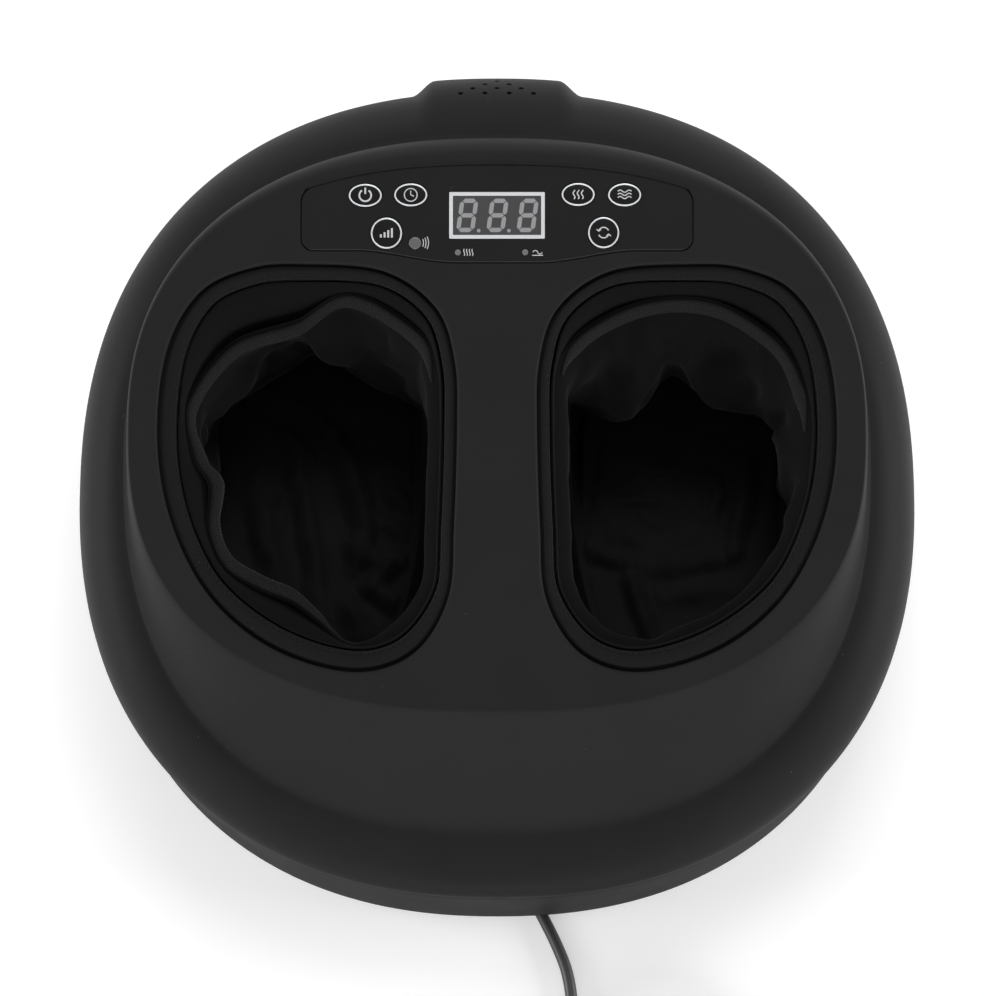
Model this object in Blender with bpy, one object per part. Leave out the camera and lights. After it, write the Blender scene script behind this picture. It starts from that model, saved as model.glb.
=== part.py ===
"""Foot massager: a round moulded housing with two fabric-lined foot wells, a tilted deck that
carries the control panel, a worm drive that turns four kneading heads, an air pump with two
squeeze bags, and a mains lead wound into a coil in front of it.

Metres, +Z up. The user sits on the -Y side. The origin is on the floor under the middle of the
housing. Lengths are written in millimetres times MM.
"""
import math

import bmesh
import bpy
from mathutils import Matrix, Vector
from mathutils.bvhtree import BVHTree

MM = 0.001

# Housing outline at the seam, seen from above
HALF_WIDTH = 193.5 * MM
FRONT_HALF = 189.9 * MM
REAR_HALF = 185.2 * MM
OUTLINE_POWER_SHARE = 2.245
OUTLINE_STEPS = 40
WALL = 3.0 * MM
CLEARANCE = 0.3 * MM
OVERRUN = 2.0 * MM
SAME_POINT = 0.01 * MM

# Heights of the housing
FOOT_HEIGHT = 8.0 * MM
SEAM_HEIGHT = 72.0 * MM

# Raised pod: the line where its wall rises out of the shoulder, set in from the outline
POD_SIDE_INSET = 25.5 * MM
POD_FRONT_INSET = 25.2 * MM
POD_REAR_INSET = 54.7 * MM
POD_CENTRE_Y = -7.7 * MM
POD_HALF_WIDTH = HALF_WIDTH - POD_SIDE_INSET
POD_FRONT_HALF = FRONT_HALF - POD_FRONT_INSET + POD_CENTRE_Y
POD_REAR_HALF = REAR_HALF - POD_REAR_INSET - POD_CENTRE_Y
POD_POWER_SHARE = 2.35
POD_FRONT_RISE = 13.0 * MM
POD_SIDE_RISE = 60.0 * MM
POD_REAR_RISE = 112.0 * MM
POD_FOOT_FRONT_Z = SEAM_HEIGHT + POD_FRONT_RISE
POD_FOOT_SIDE_Z = SEAM_HEIGHT + POD_SIDE_RISE
POD_FOOT_REAR_Z = SEAM_HEIGHT + POD_REAR_RISE
SHOULDER_POWER_SHARE = 2.2
SHOULDER_ANGLES = (0, 16, 32, 48, 68, 90)
POD_WALL_STEP_SHARES = (0.2, 0.45, 0.7, 0.9)
POD_FILLET_FRONT = 25.0 * MM
POD_FILLET_SIDE = 5.0 * MM
POD_FILLET_REAR = 2.0 * MM
ROLL_FRONT = 3.0 * MM
ROLL_REAR = 17.0 * MM
ROLL_RISE_SHARE = 0.12

# Tilted deck on top of the pod; its own axes are X, S up the slope and N out of the deck
DECK_TILT = math.radians(19)
DECK_SIDE_INSET = 7.3 * MM
DECK_FRONT_INSET = 43.7 * MM
DECK_REAR_INSET = 24.4 * MM
DECK_RISE = 104.0 * MM
DECK_Y = -2.7 * MM
DECK_Z = SEAM_HEIGHT + DECK_RISE
DECK_FRONT_Y = POD_CENTRE_Y - POD_FRONT_HALF + DECK_FRONT_INSET
DECK_REAR_Y = POD_CENTRE_Y + POD_REAR_HALF - DECK_REAR_INSET
DECK_HALF_WIDTH = POD_HALF_WIDTH - DECK_SIDE_INSET
DECK_HALF_LENGTH = (DECK_REAR_Y - DECK_FRONT_Y) / 2 / math.cos(DECK_TILT)
DECK_CENTRE_S = ((DECK_REAR_Y + DECK_FRONT_Y) / 2 - DECK_Y) / math.cos(DECK_TILT)
DECK_REAR_S = DECK_CENTRE_S + DECK_HALF_LENGTH
DECK_POWER_SHARE = 2.45

# Vent hump on the rear wall
HUMP_REACH = 7.0 * MM
HUMP_FLAT = 29.0 * MM
HUMP_FOOT = 40.0 * MM
HUMP_STATION_SHARES = (0, 0.375, 0.725, 0.81, 0.91, 1)
HUMP_START_ANGLES = (2, 18)
HUMP_END_ANGLES = (72, 89)
VENT_RADIUS = 1.2 * MM
VENT_PITCH = 11.0 * MM
VENT_ROW_COUNTS = (4, 3, 2, 1)
VENT_ROW_ANGLES = (71.0, 66.5, 62.0, 57.5)
VENT_SIDES = 6

# Control panel, across the rear of the deck
PANEL_HALF_WIDTH = 85.7 * MM
PANEL_CORNER = 5.5 * MM
PANEL_TOP_MARGIN = 1.4 * MM
PANEL_SIDE_DEPTH = 39.4 * MM
PANEL_MIDDLE_DEPTH = 44.7 * MM
PANEL_SIDE_S = DECK_REAR_S - PANEL_SIDE_DEPTH
PANEL_MIDDLE_S = DECK_REAR_S - PANEL_MIDDLE_DEPTH
PANEL_DIP_SHARES = (0.21, 0.72)
PANEL_SUNK = 0.3 * MM
PANEL_THICK = 1.3 * MM
PANEL_LEDGE = 1.5 * MM
PANEL_STEPS = 8

# Foot wells in the deck: the outline of the right one, as shares of its half sizes
WELL_BRIDGE_HALF = 17.5 * MM
WELL_SIDE_MARGIN = 12.2 * MM
WELL_FRONT_MARGIN = 16.6 * MM
WELL_REAR_MARGIN = 5.8 * MM
WELL_FRONT_S = DECK_CENTRE_S - DECK_HALF_LENGTH + WELL_FRONT_MARGIN
WELL_REAR_S = PANEL_SIDE_S - WELL_REAR_MARGIN
WELL_HALF_WIDTH = (DECK_HALF_WIDTH - WELL_SIDE_MARGIN - WELL_BRIDGE_HALF) / 2
WELL_HALF_LENGTH = (WELL_REAR_S - WELL_FRONT_S) / 2
WELL_CENTRE_X = WELL_BRIDGE_HALF + WELL_HALF_WIDTH
WELL_CENTRE_S = (WELL_REAR_S + WELL_FRONT_S) / 2
WELL_STEPS = 32
WELL_OUTLINE_SHARES = (
    (1.00, 0.13), (0.94, 0.57), (0.72, 0.86), (0.38, 0.98), (0.02, 1.00), (-0.51, 0.965),
    (-0.86, 0.785), (-0.985, 0.52), (-1.00, 0.20), (-0.98, -0.28), (-0.94, -0.64),
    (-0.71, -0.91), (-0.31, -1.00), (0.22, -0.89), (0.64, -0.64), (0.90, -0.28))

# Padded collar that lines the edge of each well
COLLAR_GAP = 0.8 * MM
COLLAR_WIDTH = 6.0 * MM
COLLAR_OUTER_SHARE = 0.22
COLLAR_DEPTH = 9.0 * MM
COLLAR_SUNK = 0.7 * MM
COLLAR_FLANGE = 4.0 * MM
COLLAR_FLANGE_THICK = 2.0 * MM
COLLAR_PAD = 2.2 * MM

# Fabric pouch that hangs in each well and opens out into the toe room under the hood
POUCH_WALL = 2.0 * MM
POUCH_GAP = 0.4 * MM
POUCH_NECK = 12.0 * MM
POUCH_BED_SHIFT = 2.5 * MM
POUCH_BED_SIDE_INSET = 13.5 * MM
POUCH_BED_FRONT_INSET = 4.3 * MM
POUCH_BED_REAR_REACH = 4.0 * MM
POUCH_BED_POWER_SHARE = 2.6
POUCH_SIDE_HEIGHT = 30.0 * MM
POUCH_SOLE_FILLET = 4.4 * MM
POUCH_SLOPE_STEPS = 2

# Base pan, and the tongue of the cover that stands inside its rim
SEAM_GAP = 1.1 * MM
BASE_LIP_INSET = 1.2 * MM
BASE_TAPER = 4.0 * MM
BASE_EDGE = 5.0 * MM
TONGUE_REACH = 3.2 * MM
TONGUE_THICK = 1.5 * MM
FLOOR_TOP = FOOT_HEIGHT + WALL
FOOT_RADIUS = 12.0 * MM
FOOT_PLACE_SHARES = ((0.62, 0.636), (-0.62, 0.636), (0.62, -0.60), (-0.62, -0.60))
PLINTH_HALF_WIDTH = 54.0 * MM
PLINTH_LENGTH = 26.0 * MM
PLINTH_DROP = 4.5 * MM

# Six screws join the pan to the cover
SCREW_PLACE_SHARES = ((0.38, -0.79), (0.88, -0.10), (0.76, 0.543))
SCREW_RADIUS = 2.0 * MM
SCREW_HEAD_RADIUS = 3.8 * MM
SCREW_HEAD_HEIGHT = 2.6 * MM
SCREW_GRIP = 16.0 * MM
TOWER_RADIUS = 7.0 * MM
TOWER_TOP = 58.0 * MM
TOWER_SEAT = 6.0 * MM
POST_RADIUS = 5.0 * MM
ROUND_STEPS = 8

# Worm drive under each foot
MODULE = 2.5 * MM
WHEEL_TEETH = 18
WORM_PITCH_RADIUS = 6.5 * MM
TIP_SHARE = 0.19
ROOT_SHARE = 0.66
WORM_TURNS = 2.0
WORM_STEPS = 10
WORM_ROOT_RADIUS = 4.1 * MM
TOOTH_HEIGHT = 2.0 * MM
TOOTH_ROOT_DEPTH = 2.75 * MM
DRIVE_SHIFT = 2.0 * MM
DRIVE_REAR_ROOM = 97.0 * MM
DRIVE_X = WELL_CENTRE_X + DRIVE_SHIFT
DRIVE_Z = 31.5 * MM
WHEEL_WIDTH = 9.0 * MM
HUB_RADIUS = 7.0 * MM
SPINDLE_RADIUS = 4.0 * MM
SPINDLE_FOOT = 13.5 * MM
BOSS_RADIUS = 8.0 * MM
BOSS_TOP = 25.5 * MM
SHAFT_RADIUS = 3.0 * MM
BEARING_REACH = 23.0 * MM
BEARING_X = DRIVE_X + BEARING_REACH
BEARING_WIDTH = 10.0 * MM
BEARING_HALF_DEPTH = 9.0 * MM
MOTOR_RADIUS = 17.9 * MM
MOTOR_LENGTH = 57.0 * MM
MOTOR_BELL = 5.0 * MM
MOTOR_STEPS = 12
SADDLE_WIDTH = 6.0 * MM
SADDLE_X = 19.0 * MM

# Chassis above the drive
CHASSIS_MARGIN = 18.0 * MM
CHASSIS_REAR_INSET = 50.2 * MM
CHASSIS_LENGTH = 167.0 * MM
CHASSIS_HALF_WIDTH = BEARING_X + CHASSIS_MARGIN
CHASSIS_REAR_Y = REAR_HALF - CHASSIS_REAR_INSET
CHASSIS_FRONT_Y = CHASSIS_REAR_Y - CHASSIS_LENGTH
DRIVE_Y = CHASSIS_REAR_Y - DRIVE_REAR_ROOM
CHASSIS_CORNER = 22.0 * MM
CHASSIS_BOTTOM = 50.0 * MM
CHASSIS_TOP = 53.0 * MM
CHASSIS_BUSH_DROP = 6.0 * MM
CHASSIS_POST_SHARES = ((0.94, 0.10), (0.94, 0.74), (0.30, 0.90))
SOLE_HEIGHT = 66.5 * MM

# Kneading heads, four domes on a disc
HEAD_RADIUS = 27.0 * MM
HEAD_DISC = 4.5 * MM
DOME_RADIUS = 8.0 * MM
DOME_CIRCLE = 16.5 * MM
DOME_COUNT = 4
HEAD_SOCKET = 3.5 * MM

# Heating plates under the toes
HEATER_HALF_WIDTH = 30.0 * MM
HEATER_REAR_MARGIN = 3.0 * MM
HEATER_HALF_LENGTH = 14.0 * MM
HEATER_Y = CHASSIS_REAR_Y - HEATER_REAR_MARGIN - HEATER_HALF_LENGTH
HEATER_THICK = 2.5 * MM
HEATER_CORNER = 6.0 * MM

# Air pump, valve block, bags and hoses
PUMP_RADIUS = 13.5 * MM
PUMP_STEPS = 12
PUMP_LENGTH = 34.0 * MM
PUMP_Y = CHASSIS_REAR_Y - PUMP_LENGTH / 2
PUMP_HEAD = 14.0 * MM
PUMP_HEAD_HALF = 13.0 * MM
PUMP_LIFT = 2.0 * MM
NOZZLE_RADIUS = 2.4 * MM
NOZZLE_LENGTH = 5.0 * MM
VALVE_HALF_WIDTH = 13.0 * MM
VALVE_LENGTH = 16.0 * MM
VALVE_HEIGHT = 24.0 * MM
BAG_THICK = 11.0 * MM
BAG_EDGE = 1.6 * MM
BAG_GAP = 1.1 * MM
BAG_ARC_DEGREES = (42, 138)
BAG_SLOPE_SHARES = (0.12, 0.24, 0.4, 0.56, 0.72, 0.84)
HOSE_RADIUS = 3.0 * MM

# Buttons, display and lenses of the control panel
BUTTON_OVAL = (7.3 * MM, 5.1 * MM)
BUTTON_ROUND = (6.9 * MM, 6.9 * MM)
BUTTON_PROUD = 0.6 * MM
BUTTON_FLANGE = 0.5 * MM
BUTTON_FLANGE_THICK = 1.0 * MM
BUTTON_STEM = 2.0 * MM
BUTTON_STEM_LENGTH = 1.7 * MM
BUTTON_TRAVEL = 0.6 * MM
BUTTON_SIDES = 12
BUTTON_SIZES_AND_PLACE_SHARES = {
    "power_button": (BUTTON_OVAL, -0.672, 0.712),
    "timer_button": (BUTTON_OVAL, -0.440, 0.691),
    "intensity_button": (BUTTON_ROUND, -0.564, 0.239),
    "heating_button": (BUTTON_OVAL, 0.414, 0.695),
    "relax_button": (BUTTON_OVAL, 0.651, 0.713),
    "mode_button": (BUTTON_ROUND, 0.544, 0.250),
}
DISPLAY_PLACE_SHARE = 0.479
DISPLAY_HALF_WIDTH = 21.0 * MM
DISPLAY_HALF_HEIGHT = 10.3 * MM
DISPLAY_MODULE_INSET = 1.0 * MM
LENS_PLACE_SHARES = (-0.418, 0.168)
LENS_RADIUS = 2.75 * MM
INDICATOR_PLACE_SHARES = {
    "heat_indicator": (-0.200, 0.105),
    "massage_indicator": (0.144, 0.107),
}
INDICATOR_RADIUS = 1.35 * MM
LENS_LENGTH = 4.2 * MM

# Control board behind the panel
BOARD_DEPTH = 9.0 * MM
BOARD_THICK = 1.6 * MM
BOARD_INSET = 3.0 * MM
BOARD_POST_RADIUS = 2.5 * MM
BOARD_POST_INSET = 6.5 * MM
BOARD_POST_SIDE_INSET = 10.7 * MM
SWITCH_HALF = 3.0 * MM

# Power board in the front of the base
POWER_BOARD_HALF_WIDTH = 46.0 * MM
POWER_BOARD_FRONT_INSET = 77.9 * MM
POWER_BOARD_LENGTH = 54.0 * MM
POWER_BOARD_FRONT_Y = POWER_BOARD_FRONT_INSET - FRONT_HALF
POWER_BOARD_Y = (POWER_BOARD_FRONT_Y, POWER_BOARD_FRONT_Y + POWER_BOARD_LENGTH)
POWER_BOARD_Z = 27.0 * MM
BOARD_PILLAR_RADIUS = 3.5 * MM
BOARD_PILLAR_INSET = 6.0 * MM
LOOM_RADIUS = 2.5 * MM

# Mains lead
CORD_DIAMETER = 5.6 * MM
RELIEF_X = 14.0 * MM
RELIEF_FRONT_INSET = 61.9 * MM
RELIEF_Y = RELIEF_FRONT_INSET - FRONT_HALF
RELIEF_SLOPE = math.radians(18)
RELIEF_LENGTH = 22.0 * MM
RELIEF_ROOT_RADIUS = 5.0 * MM
RELIEF_TIP_RADIUS = 3.7 * MM
RELIEF_FLANGE_RADIUS = 7.0 * MM
RELIEF_FLANGE_THICK = 2.5 * MM
RELIEF_STEPS = 12
RELIEF_Z = FLOOR_TOP + RELIEF_FLANGE_RADIUS + CLEARANCE
RELIEF_STUB = 8.0 * MM
CABLE_ROOM_HALF_WIDTH = 15.0 * MM
CABLE_ROOM_LENGTH = 44.0 * MM
CABLE_ROOM_HEIGHT = 16.0 * MM
CABLE_SLOT_HALF_WIDTH = 9.0 * MM

# Route of the lead's free stretch: across, ahead of the front edge, and above the floor
CORD_ROUTE = (
    (15.5 * MM, -22.9 * MM, 1.1 * MM), (17.5 * MM, -15.9 * MM, 0.3 * MM),
    (20.0 * MM, -9.9 * MM, 0.0 * MM), (22.3 * MM, -5.4 * MM, 0.0 * MM),
    (27.8 * MM, 6.1 * MM, 0.0 * MM), (32.6 * MM, 19.1 * MM, 0.0 * MM),
    (34.8 * MM, 34.1 * MM, 0.1 * MM), (34.6 * MM, 50.1 * MM, 0.6 * MM))

# Coil of the lead, its tie and its plug, in front of the housing
CORD_EXIT_X = 22.3 * MM
COIL_X = 76.0 * MM
COIL_AHEAD = 82.1 * MM
COIL_Y = -FRONT_HALF - COIL_AHEAD
COIL_OUTER = 41.5 * MM
COIL_PITCH = 6.3 * MM
COIL_LAYER_TURNS = 2.75
COIL_TURN_BACK = 0.08
COIL_CLIMB_TURNS = 0.5
COIL_TAIL_TURNS = 0.25
COIL_TAIL_OUT = 9.5 * MM
COIL_STEPS = 24
TIE_THICK = 0.8 * MM
TIE_WIDTH = 6.0 * MM
TIE_GAP = 0.4 * MM
TIE_ANGLE = math.radians(35)
FLOOR_GAP = 0.1 * MM
PLUG_HALF_WIDTH = 11.0 * MM
PLUG_HALF_THICK = 7.3 * MM
PLUG_LENGTH = 30.0 * MM
PLUG_NECK = 24.0 * MM
PLUG_NECK_RADIUS = 4.4 * MM
PLUG_TIP_RADIUS = 3.6 * MM
BLADE_SPACING = 12.7 * MM
BLADE_HALF_THICK = 0.75 * MM
BLADE_HALF_HEIGHT = 3.15 * MM
BLADE_REACH = 16.0 * MM
BLADE_SOCKET = 5.0 * MM


def clear_scene():
    for thing in list(bpy.data.objects):
        bpy.data.objects.remove(thing, do_unlink=True)


def finish(name, colour, roughness, metallic=0.0):
    """A Principled material of one colour."""
    material = bpy.data.materials.new(name)
    material.use_nodes = True
    shader = material.node_tree.nodes["Principled BSDF"]
    shader.inputs["Base Color"].default_value = (*colour, 1.0)
    shader.inputs["Roughness"].default_value = roughness
    shader.inputs["Metallic"].default_value = metallic
    return material


def link(name, data, material, parent=None):
    thing = bpy.data.objects.new(name, data)
    bpy.context.scene.collection.objects.link(thing)
    if material is not None:
        data.materials.append(material)
    thing.parent = parent
    return thing


def solid_mesh(name, vertices, faces):
    """A closed mesh with its faces pointing out, smooth but for its sharp edges."""
    mesh = bpy.data.meshes.new(name)
    mesh.from_pydata([tuple(v) for v in vertices], [], faces)
    shape = bmesh.new()
    shape.from_mesh(mesh)
    bmesh.ops.recalc_face_normals(shape, faces=shape.faces)
    if shape.calc_volume(signed=True) < 0:
        bmesh.ops.reverse_faces(shape, faces=shape.faces)
    shape.to_mesh(mesh)
    shape.free()
    mesh.shade_smooth()
    mesh.set_sharp_from_angle(angle=math.radians(35))
    return mesh


def ring_faces(ring_count, steps, loop=False, caps=True):
    """Quads between rings of points, with an end cap on each open end."""
    faces = []
    last = ring_count if loop else ring_count - 1
    for ring in range(last):
        upper = (ring + 1) % ring_count
        for step in range(steps):
            after = (step + 1) % steps
            faces.append((ring * steps + step, ring * steps + after,
                          upper * steps + after, upper * steps + step))
    if caps and not loop:
        faces.append(tuple(range(steps)))
        faces.append(tuple(range((ring_count - 1) * steps, ring_count * steps)))
    return faces


def lofted(name, rings, loop=False, caps=True):
    vertices = [point for ring in rings for point in ring]
    return solid_mesh(name, vertices, ring_faces(len(rings), len(rings[0]), loop, caps))


def circle_points(radius_x, radius_y, height, steps, centre=(0.0, 0.0)):
    points = []
    for step in range(steps):
        angle = 2 * math.pi * step / steps
        points.append(Vector((centre[0] + radius_x * math.cos(angle),
                              centre[1] + radius_y * math.sin(angle), height)))
    return points


def turned(name, profile, steps=ROUND_STEPS, loop=False):
    """Turn a profile of (radius, height) about Z; a zero radius closes in a point."""
    rings = [circle_points(radius, radius, height, steps) for radius, height in profile]
    mesh = lofted(name, rings, loop)
    shape = bmesh.new()
    shape.from_mesh(mesh)
    bmesh.ops.remove_doubles(shape, verts=shape.verts, dist=SAME_POINT)
    bmesh.ops.dissolve_degenerate(shape, edges=shape.edges, dist=SAME_POINT)
    shape.to_mesh(mesh)
    shape.free()
    return mesh


def prism(name, outline, bottom, top):
    rings = [[Vector((x, y, height)) for x, y in outline] for height in (bottom, top)]
    return lofted(name, rings)


def block(name, low, high):
    outline = ((low[0], low[1]), (high[0], low[1]), (high[0], high[1]), (low[0], high[1]))
    return prism(name, outline, low[2], high[2])


def rounded_rectangle(low, high, corner, steps=5):
    points = []
    centres = ((high[0] - corner, high[1] - corner), (low[0] + corner, high[1] - corner),
               (low[0] + corner, low[1] + corner), (high[0] - corner, low[1] + corner))
    for quarter, (x, y) in enumerate(centres):
        for step in range(steps):
            angle = math.pi / 2 * (quarter + step / (steps - 1))
            points.append((x + corner * math.cos(angle), y + corner * math.sin(angle)))
    return points


def moved(mesh, matrix):
    mesh.transform(matrix)
    return mesh


def along_x(mesh):
    """Stand a mesh that was made along Z along X instead, its X becoming Y."""
    return moved(mesh, Matrix(((0, 0, 1, 0), (1, 0, 0, 0), (0, 1, 0, 0), (0, 0, 0, 1))))


def along_y(mesh):
    """Stand a mesh that was made along Z along Y instead, its X becoming Z."""
    return moved(mesh, Matrix(((0, 1, 0, 0), (0, 0, 1, 0), (1, 0, 0, 0), (0, 0, 0, 1))))


def gathered(name, meshes):
    """One mesh of several closed shells, for a tool that cuts or adds in one go."""
    shape = bmesh.new()
    for mesh in meshes:
        shape.from_mesh(mesh)
    whole = bpy.data.meshes.new(name)
    shape.to_mesh(whole)
    shape.free()
    for mesh in meshes:
        bpy.data.meshes.remove(mesh)
    return whole


def shape_with(target, mesh, operation, parent=None):
    """Cut a shape out of the target, or add it, with a Boolean that stays on the object."""
    tool = link(target.name + "_" + mesh.name, mesh, None, parent)
    tool.display_type = "WIRE"
    tool.hide_render = True
    modifier = target.modifiers.new(mesh.name, "BOOLEAN")
    modifier.operation = operation
    modifier.solver = "EXACT"
    modifier.object = tool


def cut(target, mesh, parent=None):
    shape_with(target, mesh, "DIFFERENCE", parent)


def add(target, mesh, parent=None):
    shape_with(target, mesh, "UNION", parent)


def ease(low, high, value):
    share = min(max((value - low) / (high - low), 0.0), 1.0)
    return share * share * (3 - 2 * share)


def signed_power(value, power):
    return math.copysign(abs(value) ** power, value)


def superellipse(angle, half_width, front, rear, power, centre_y=0.0):
    """A point of a rounded outline whose front and rear halves may differ in reach."""
    cosine = math.cos(angle)
    sine = math.sin(angle)
    reach = rear if sine > 0 else front
    return Vector((half_width * signed_power(cosine, 2 / power),
                   centre_y + reach * signed_power(sine, 2 / power)))


def spline_points(corners, per_span, closed):
    """Points along a smooth curve through the corners, as Vectors."""
    count = len(corners)
    spans = count if closed else count - 1
    points = []
    for span in range(spans):
        a, b, c, d = (span - 1, span, span + 1, span + 2)
        if closed:
            a, b, c, d = (a % count, b % count, c % count, d % count)
        before = Vector(corners[a]) if a >= 0 else 2 * Vector(corners[0]) - Vector(corners[1])
        after = Vector(corners[d]) if d < count else 2 * Vector(corners[-1]) - Vector(corners[-2])
        start = Vector(corners[b])
        end = Vector(corners[c])
        for step in range(per_span):
            t = step / per_span
            points.append(0.5 * (2 * start + (end - before) * t
                                 + (2 * before - 5 * start + 4 * end - after) * t * t
                                 + (3 * start - before - 3 * end + after) * t * t * t))
    if not closed:
        points.append(Vector(corners[-1]))
    return points


def evenly(points, count, closed):
    """The same path with its points spread evenly along it."""
    path = points + [points[0]] if closed else points
    lengths = [0.0]
    for before, after in zip(path, path[1:]):
        lengths.append(lengths[-1] + (after - before).length)
    divisions = count if closed else count - 1
    result = []
    place = 0
    for index in range(count):
        target = lengths[-1] * index / divisions
        while place < len(lengths) - 2 and lengths[place + 1] < target:
            place += 1
        span = lengths[place + 1] - lengths[place]
        share = (target - lengths[place]) / span
        result.append(path[place].lerp(path[place + 1], min(share, 1.0)))
    return result


def straight_ended(start, leave, corners, end, arrive, run, count):
    """A path that leaves and arrives straight, with a smooth curve between."""
    span_steps = 8
    knots = [start, start + leave * run, *corners, end - arrive * run, end]
    curve = spline_points(knots, span_steps, False)
    return [start] + evenly(curve[span_steps:-span_steps], count, False) + [end]


def path_length(points):
    return sum((after - before).length for before, after in zip(points, points[1:]))


def offset_outline(points, distances):
    """Move each point of a closed plane outline inwards by its own distance."""
    count = len(points)
    area = sum(points[i].x * points[(i + 1) % count].y - points[(i + 1) % count].x * points[i].y
               for i in range(count))
    turn = 1.0 if area > 0 else -1.0
    result = []
    for index in range(count):
        along = points[(index + 1) % count] - points[index - 1]
        inward = Vector((-along.y, along.x)).normalized() * turn
        result.append(points[index] + inward * distances[index])
    return result


def tube(name, points, radius, resolution, material):
    """A round tube with closed ends along a list of points."""
    curve = bpy.data.curves.new(name, "CURVE")
    curve.dimensions = "3D"
    curve.bevel_depth = radius
    curve.bevel_resolution = resolution
    curve.use_fill_caps = True
    spline = curve.splines.new("POLY")
    spline.points.add(len(points) - 1)
    for target, point in zip(spline.points, points):
        target.co = (*point, 1.0)
    return link(name, curve, material)


def deck_point(x, s, n=0.0):
    """World place of a point given in the deck's own axes."""
    return Vector((x, DECK_Y + s * math.cos(DECK_TILT) - n * math.sin(DECK_TILT),
                   DECK_Z + s * math.sin(DECK_TILT) + n * math.cos(DECK_TILT)))


def even_angles():
    return [2 * math.pi * step / OUTLINE_STEPS for step in range(OUTLINE_STEPS)]


def cover_angles():
    """Even steps around the cover, with closer ones where the hump stands."""
    result = []
    for angle in even_angles():
        if math.sin(angle) < 0 or abs(seam_point(angle).x) > HUMP_FOOT + HUMP_REACH:
            result.append(angle)
    for share in HUMP_STATION_SHARES:
        angle = math.acos((share * HUMP_FOOT / HALF_WIDTH) ** (OUTLINE_POWER_SHARE / 2))
        result.append(angle)
        if share > 0:
            result.append(math.pi - angle)
    return sorted(result)


def seam_point(angle, inset=0.0):
    return superellipse(angle, HALF_WIDTH - inset, FRONT_HALF - inset, REAR_HALF - inset,
                        OUTLINE_POWER_SHARE)


def pod_foot(angle):
    """The line where the pod rises out of the shoulder, highest at the rear."""
    place = superellipse(angle, POD_HALF_WIDTH, POD_FRONT_HALF, POD_REAR_HALF, POD_POWER_SHARE,
                         POD_CENTRE_Y)
    share = (place.y - POD_CENTRE_Y) / (POD_REAR_HALF if place.y > POD_CENTRE_Y else POD_FRONT_HALF)
    rear_rise = POD_FOOT_REAR_Z - POD_FOOT_SIDE_Z
    front_drop = POD_FOOT_SIDE_Z - POD_FOOT_FRONT_Z
    slope = (rear_rise + front_drop) / 2
    bend = (rear_rise - front_drop) / 2
    return Vector((place.x, place.y, POD_FOOT_SIDE_Z + slope * share + bend * share * share))


def deck_edge(angle):
    place = superellipse(angle, DECK_HALF_WIDTH, DECK_HALF_LENGTH, DECK_HALF_LENGTH,
                         DECK_POWER_SHARE, DECK_CENTRE_S)
    return deck_point(place.x, place.y)


def outward(angle):
    """The level direction out of the pod at an angle of its outline."""
    power = 2 - 2 / POD_POWER_SHARE
    return Vector((signed_power(math.cos(angle), power) / POD_HALF_WIDTH,
                   signed_power(math.sin(angle), power) / POD_REAR_HALF, 0.0)).normalized()


def hump(x, shoulder_angle):
    """How far the vent hump stands out of the rear wall, above a point of the seam."""
    degrees = math.degrees(shoulder_angle)
    across = 1 - ease(HUMP_FLAT, HUMP_FOOT, abs(x))
    rise = ease(HUMP_START_ANGLES[0], HUMP_START_ANGLES[1], degrees)
    fall = 1 - ease(HUMP_END_ANGLES[0], HUMP_END_ANGLES[1], degrees)
    return HUMP_REACH * across * rise * fall


def shoulder_point(angle, shoulder_angle):
    """A point between the seam and the pod: a quarter of a rounded outline, upright at the seam."""
    power = 2 / SHOULDER_POWER_SHARE
    inward = 1 - max(math.cos(shoulder_angle), 0.0) ** power
    upward = math.sin(shoulder_angle) ** power
    rim = seam_point(angle)
    foot = pod_foot(angle)
    place = Vector((rim.x + (foot.x - rim.x) * inward, rim.y + (foot.y - rim.y) * inward,
                    SEAM_HEIGHT + (foot.z - SEAM_HEIGHT) * upward))
    if place.y > 0:
        place.y += hump(rim.x, shoulder_angle)
    return place


def pod_wall_point(angle, share):
    """A point of the pod's wall, from its foot up to the edge of the deck."""
    front = max(-math.sin(angle), 0.0) ** 2
    rear = max(math.sin(angle), 0.0) ** 2
    side = 1 - front - rear
    fillet = POD_FILLET_FRONT * front + POD_FILLET_SIDE * side + POD_FILLET_REAR * rear
    roll = ROLL_FRONT + (ROLL_REAR - ROLL_FRONT) * rear
    out = outward(angle)
    start = pod_foot(angle)
    end = deck_edge(angle)
    leave = start - out * fillet
    arrive = end + out * roll + Vector((0, 0, roll * ROLL_RISE_SHARE * rear))
    rest = 1 - share
    return (start * rest ** 3 + leave * 3 * rest ** 2 * share
            + arrive * 3 * rest * share ** 2 + end * share ** 3)


def cover_rings():
    """Rings of the cover's outer skin from the seam up to the edge of the deck."""
    around = cover_angles()
    rings = [[shoulder_point(angle, math.radians(degrees)) for angle in around]
             for degrees in SHOULDER_ANGLES]
    rings += [[pod_wall_point(angle, share) for angle in around] for share in POD_WALL_STEP_SHARES]
    rings.append([deck_edge(angle) for angle in around])
    return rings


def cover_skin():
    """The outer skin, open at the seam and closed by the flat deck."""
    rings = cover_rings()
    steps = len(rings[0])
    faces = ring_faces(len(rings), steps, caps=False)
    faces.append(tuple(range((len(rings) - 1) * steps, len(rings) * steps)))
    mesh = bpy.data.meshes.new("top_cover")
    mesh.from_pydata([tuple(point) for ring in rings for point in ring], [], faces)
    mesh.shade_smooth()
    mesh.set_sharp_from_angle(angle=math.radians(35))
    return mesh


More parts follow.
